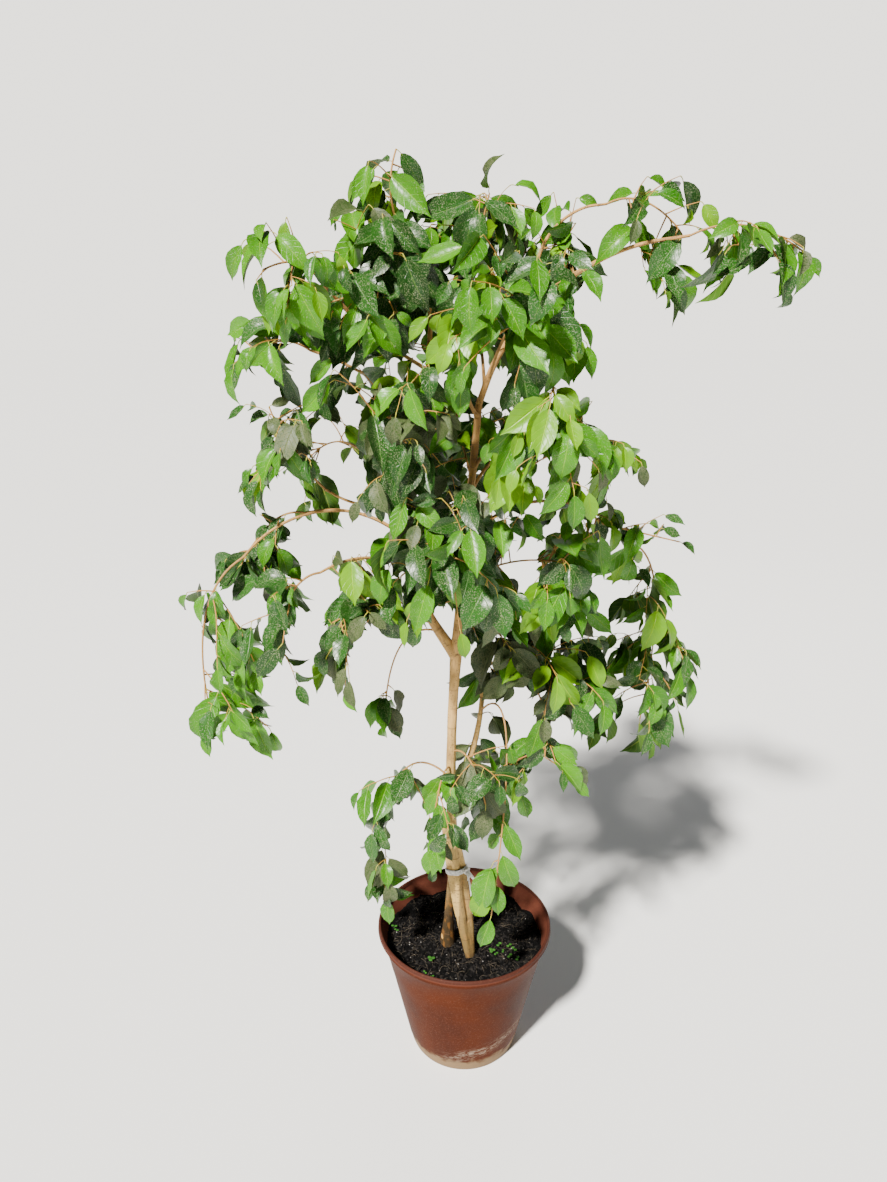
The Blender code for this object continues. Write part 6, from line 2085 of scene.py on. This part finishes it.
    def seedlings(self) -> bpy.types.Object:
        """Tiny seedlings, each with two or three round leaves on a thin stalk.

        Returns:
            The finished piece.
        """
        rng = np.random.default_rng(23)
        verts, faces, count = [], [], 0
        for x, y, scale in self.seedling_places:
            foot = np.array((x, y, self.height(x, y) - 0.001))
            top = foot + np.array((0.0, 0.0, 0.0055 * scale))
            parts = [sweep(Path(np.array([foot, (foot + top) / 2, top]), np.full(3, 0.0004), DOWN), 5)[:2]]
            start = rng.uniform(0.0, 2.0 * math.pi)
            for number in range(2 if scale < 1.4 else 3):
                heading = start + number * 2.0 * math.pi / (2 if scale < 1.4 else 3)
                outward = np.array((math.cos(heading), math.sin(heading), 0.25))
                disc, sides = turned([(0.0, 0.0), (0.0014, 0.0001), (0.0024, 0.0004), (0.0025, 0.0006),
                                      (0.0014, 0.0004), (0.0, 0.0003)], 10)
                parts.append((disc * scale + top + outward * 0.0028 * scale, sides))
            for found, sides in parts:
                faces += [tuple(index + count for index in face) for face in sides]
                verts.append(found)
                count += len(found)
        return add_piece(make_mesh("seedlings", np.concatenate(verts), faces), self.palette.seedlings)

    def build(self) -> None:
        """Makes the soil and what lies and grows on it."""
        seat(self.bed(), "soil", "soil")
        seat(self.litter(), "soil")
        seat(self.seedlings(), "leaf_fresh")


@dataclass
class Tie:
    """The soft pale band stretched round the bundle of stems, with its knot and hanging ends."""

    trunk: Path
    palette: Palette
    thick: float = 0.0019
    points: int = 72
    knot_side: float = math.radians(-50.0)
    knot: float = 0.0058

    def ring(self, height: float, swell: float) -> np.ndarray:
        """The outline of the band round the bundle at a height.

        Args:
            height: where along the stems.
            swell: how far outside the stems.

        Returns:
            One point for each step round.
        """
        stems = [(at_height(path.points, height), np.interp(height, path.points[:, 2], path.radii))
                 for path in [self.trunk, *bundle(self.trunk)]]
        corners = []
        for index in range(self.points):
            angle = 2.0 * math.pi * index / self.points
            outward = np.array((math.cos(angle), math.sin(angle), 0.0))
            middle, radius = max(stems, key=lambda stem: stem[0] @ outward + stem[1])
            corners.append(middle + outward * (radius + swell))
        return np.array(corners)

    def band(self) -> tuple[np.ndarray, list[tuple[int, ...]]]:
        """The creased band itself.

        Returns:
            Its points and faces.
        """
        profile = [(-0.5, 0.15), (-0.5, 0.8), (-0.3, 1.1), (-0.1, 0.85), (0.1, 1.15), (0.3, 0.9), (0.5, 0.8),
                   (0.5, 0.15), (0.2, 0.0), (-0.2, 0.0)]
        rings = []
        for number, (level, out) in enumerate(profile):
            loop = self.ring(TIE_HEIGHT + level * TIE_WIDTH, 0.0006 + out * self.thick)
            crease = np.array([noise.noise(Vector((point[0], point[1], number * 0.004)) * 160.0) for point in loop])
            loop[:, 2] += crease * 0.0016
            rings.append(loop)
        count = self.points
        faces = []
        for row in range(len(rings)):
            after = (row + 1) % len(rings)
            faces += [(row * count + side, row * count + (side + 1) % count, after * count + (side + 1) % count,
                       after * count + side) for side in range(count)]
        return np.concatenate(rings), faces

    @staticmethod
    def strip(points: np.ndarray, wide: float, thick: float, turn: float) -> tuple[np.ndarray, list[tuple[int, ...]]]:
        """A flat strip along a path that turns as it goes.

        Args:
            points: its middle line.
            wide: its width.
            thick: its thickness.
            turn: how far it twists from end to end, in radians.

        Returns:
            Its points and faces.
        """
        fine = Path(points, np.ones(len(points)), unit(points[1] - points[0])).finer(0.002)
        verts, faces, _ = sweep(fine, 8)
        rows = len(fine.points)
        for row in range(rows):
            part = slice(row * 8, row * 8 + 8)
            tangent = unit(fine.points[min(row + 1, rows - 1)] - fine.points[max(row - 1, 0)])
            side = unit(np.cross(tangent, np.array((0.3, -1.0, 0.1))))
            out = np.cross(tangent, side)
            angle = turn * row / (rows - 1)
            one = side * math.cos(angle) + out * math.sin(angle)
            two = np.cross(tangent, one)
            angles = np.linspace(0.0, 2.0 * math.pi, 8, endpoint=False)
            verts[part] = fine.points[row] + np.cos(angles)[:, None] * one * wide / 2 + (
                np.sin(angles)[:, None] * two * thick / 2)
        return verts, faces

    def build(self) -> None:
        """Makes the band, the knot and its ends as one piece."""
        parts = [self.band()]
        number = round(self.knot_side / (2.0 * math.pi) * self.points) % self.points
        corner = self.ring(TIE_HEIGHT, self.thick)[number]
        outward = np.array((math.cos(self.knot_side), math.sin(self.knot_side), 0.0))
        along = np.array((-outward[1], outward[0], 0.0))
        middle = corner + outward * self.knot * 0.45
        for tilt in (0.5, -0.7):
            angles = np.linspace(0.0, 2.0 * math.pi, 10)
            loop = np.array([middle + along * math.cos(a) * self.knot * 0.8
                             + (DOWN * math.cos(tilt) + outward * math.sin(tilt)) * math.sin(a) * self.knot
                             for a in angles])
            parts.append(self.strip(loop, 0.0052, 0.0026, 0.6))
        share = np.linspace(0.0, 1.0, 6)[:, None]
        for start, end, wide, twist in ((middle, (0.70, -0.15, -1.0), 0.0070, 1.2),
                                        (middle, (0.10, -0.10, -0.62), 0.0075, -0.8),
                                        (self.ring(TIE_HEIGHT, 0.0)[0], (0.45, 0.10, -3.5), 0.0032, 0.5)):
            points = start + np.array(end) * TIE_TAIL * share + outward * 0.004 * np.sin(np.pi * share)
            parts.append(self.strip(points, wide, 0.0014, twist))
        verts, faces, count = [], [], 0
        for found, sides in parts:
            faces += [tuple(index + count for index in face) for face in sides]
            verts.append(found)
            count += len(found)
        mesh = make_mesh("tie_band", np.concatenate(verts), faces)
        seat(add_piece(mesh, self.palette.tie), "tie_fabric", "tie")


@dataclass
class Studio:
    """A pale floor, soft studio light and the camera at the photograph's viewing angle."""

    eye: tuple[float, float, float] = (-0.0412, -1.418, 1.426)
    pitch: float = 71.76
    lens: float = 26.19
    sensor: float = 36.0
    floor_size: float = 60.0
    room_light: float = 0.075
    backdrop: float = 2.40
    key_spread: float = math.radians(5.0)

    @staticmethod
    def light(name: str, kind: str, place_at: tuple[float, float, float], power: float, size: float,
              colour: tuple[float, float, float]) -> None:
        """A soft light aimed at the middle of the crown.

        Args:
            name: the light's name.
            kind: AREA for a square panel, SUN for even light from far away.
            place_at: where it hangs.
            power: its power.
            size: a panel's side in metres, or the angle that a far light fills.
            colour: its colour.
        """
        data = bpy.data.lights.new(name, kind)
        data.energy, data.color = power, colour
        if kind == "SUN":
            data.angle = size
        else:
            data.size = size
        lamp = bpy.data.objects.new(name, data)
        lamp.location = place_at
        lamp.rotation_euler = (Vector((0.0, 0.0, 0.9)) - Vector(place_at)).to_track_quat("-Z", "Y").to_euler()
        bpy.context.scene.collection.objects.link(lamp)

    def build(self) -> None:
        """Sets up the floor, the lights, the surroundings and the camera."""
        half = self.floor_size / 2
        corners = np.array([(-half, -half, 0.0), (half, -half, 0.0), (half, half, 0.0), (-half, half, 0.0)])
        paint = Painter("studio_floor")
        floor = add_piece(make_mesh("studio_floor", corners, [(0, 1, 2, 3)]),
                          paint.finish((0.86, 0.86, 0.85, 1.0), 0.9))
        self.light("key", "SUN", (-1.4, -2.4, 3.9), 12.0, self.key_spread, (1.0, 0.965, 0.90))
        self.light("fill", "AREA", (2.8, -2.2, 1.8), 5.0, 2.6, (0.93, 0.96, 1.0))
        self.light("rim", "AREA", (0.6, 2.8, 2.9), 25.0, 2.0, (1.0, 1.0, 1.0))
        world = bpy.data.worlds.new("studio")
        world.use_nodes = True
        tree = world.node_tree
        room = tree.nodes["Background"]
        room.inputs["Strength"].default_value = self.room_light
        backdrop = add_node(tree, "ShaderNodeBackground", {"Color": (1.0, 0.965, 0.89, 1.0),
                                                           "Strength": self.backdrop})
        seen = add_node(tree, "ShaderNodeLightPath")
        mixed = add_node(tree, "ShaderNodeMixShader", {0: seen.outputs["Is Camera Ray"], 1: room.outputs[0],
                                                       2: backdrop.outputs[0]})
        room.inputs["Color"].default_value = (0.95, 0.97, 1.0, 1.0)
        tree.links.new(mixed.outputs[0], tree.nodes["World Output"].inputs["Surface"])
        bpy.context.scene.world = world
        data = bpy.data.cameras.new("camera")
        data.lens, data.sensor_width = self.lens, self.sensor
        camera = bpy.data.objects.new("camera", data)
        camera.location = self.eye
        camera.rotation_euler = (math.radians(self.pitch), 0.0, 0.0)
        bpy.context.scene.collection.objects.link(camera)
        bpy.context.scene.camera = camera


def main() -> None:
    """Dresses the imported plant: pot, soil, tie, woody stems and foliage, in a plain studio."""
    logging.basicConfig(level=logging.INFO, format="%(name)s: %(message)s")
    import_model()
    Studio().build()
    palette = Palette()
    limbs = plan_limbs()
    Pot(palette).build()
    SoilBed(palette).build()
    Tie(limbs["trunk"], palette).build()
    Woodwork(limbs, palette).build()
    Foliage(limbs, palette, LeafHabit()).build()
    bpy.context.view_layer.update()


if __name__ == "__main__":
    main()
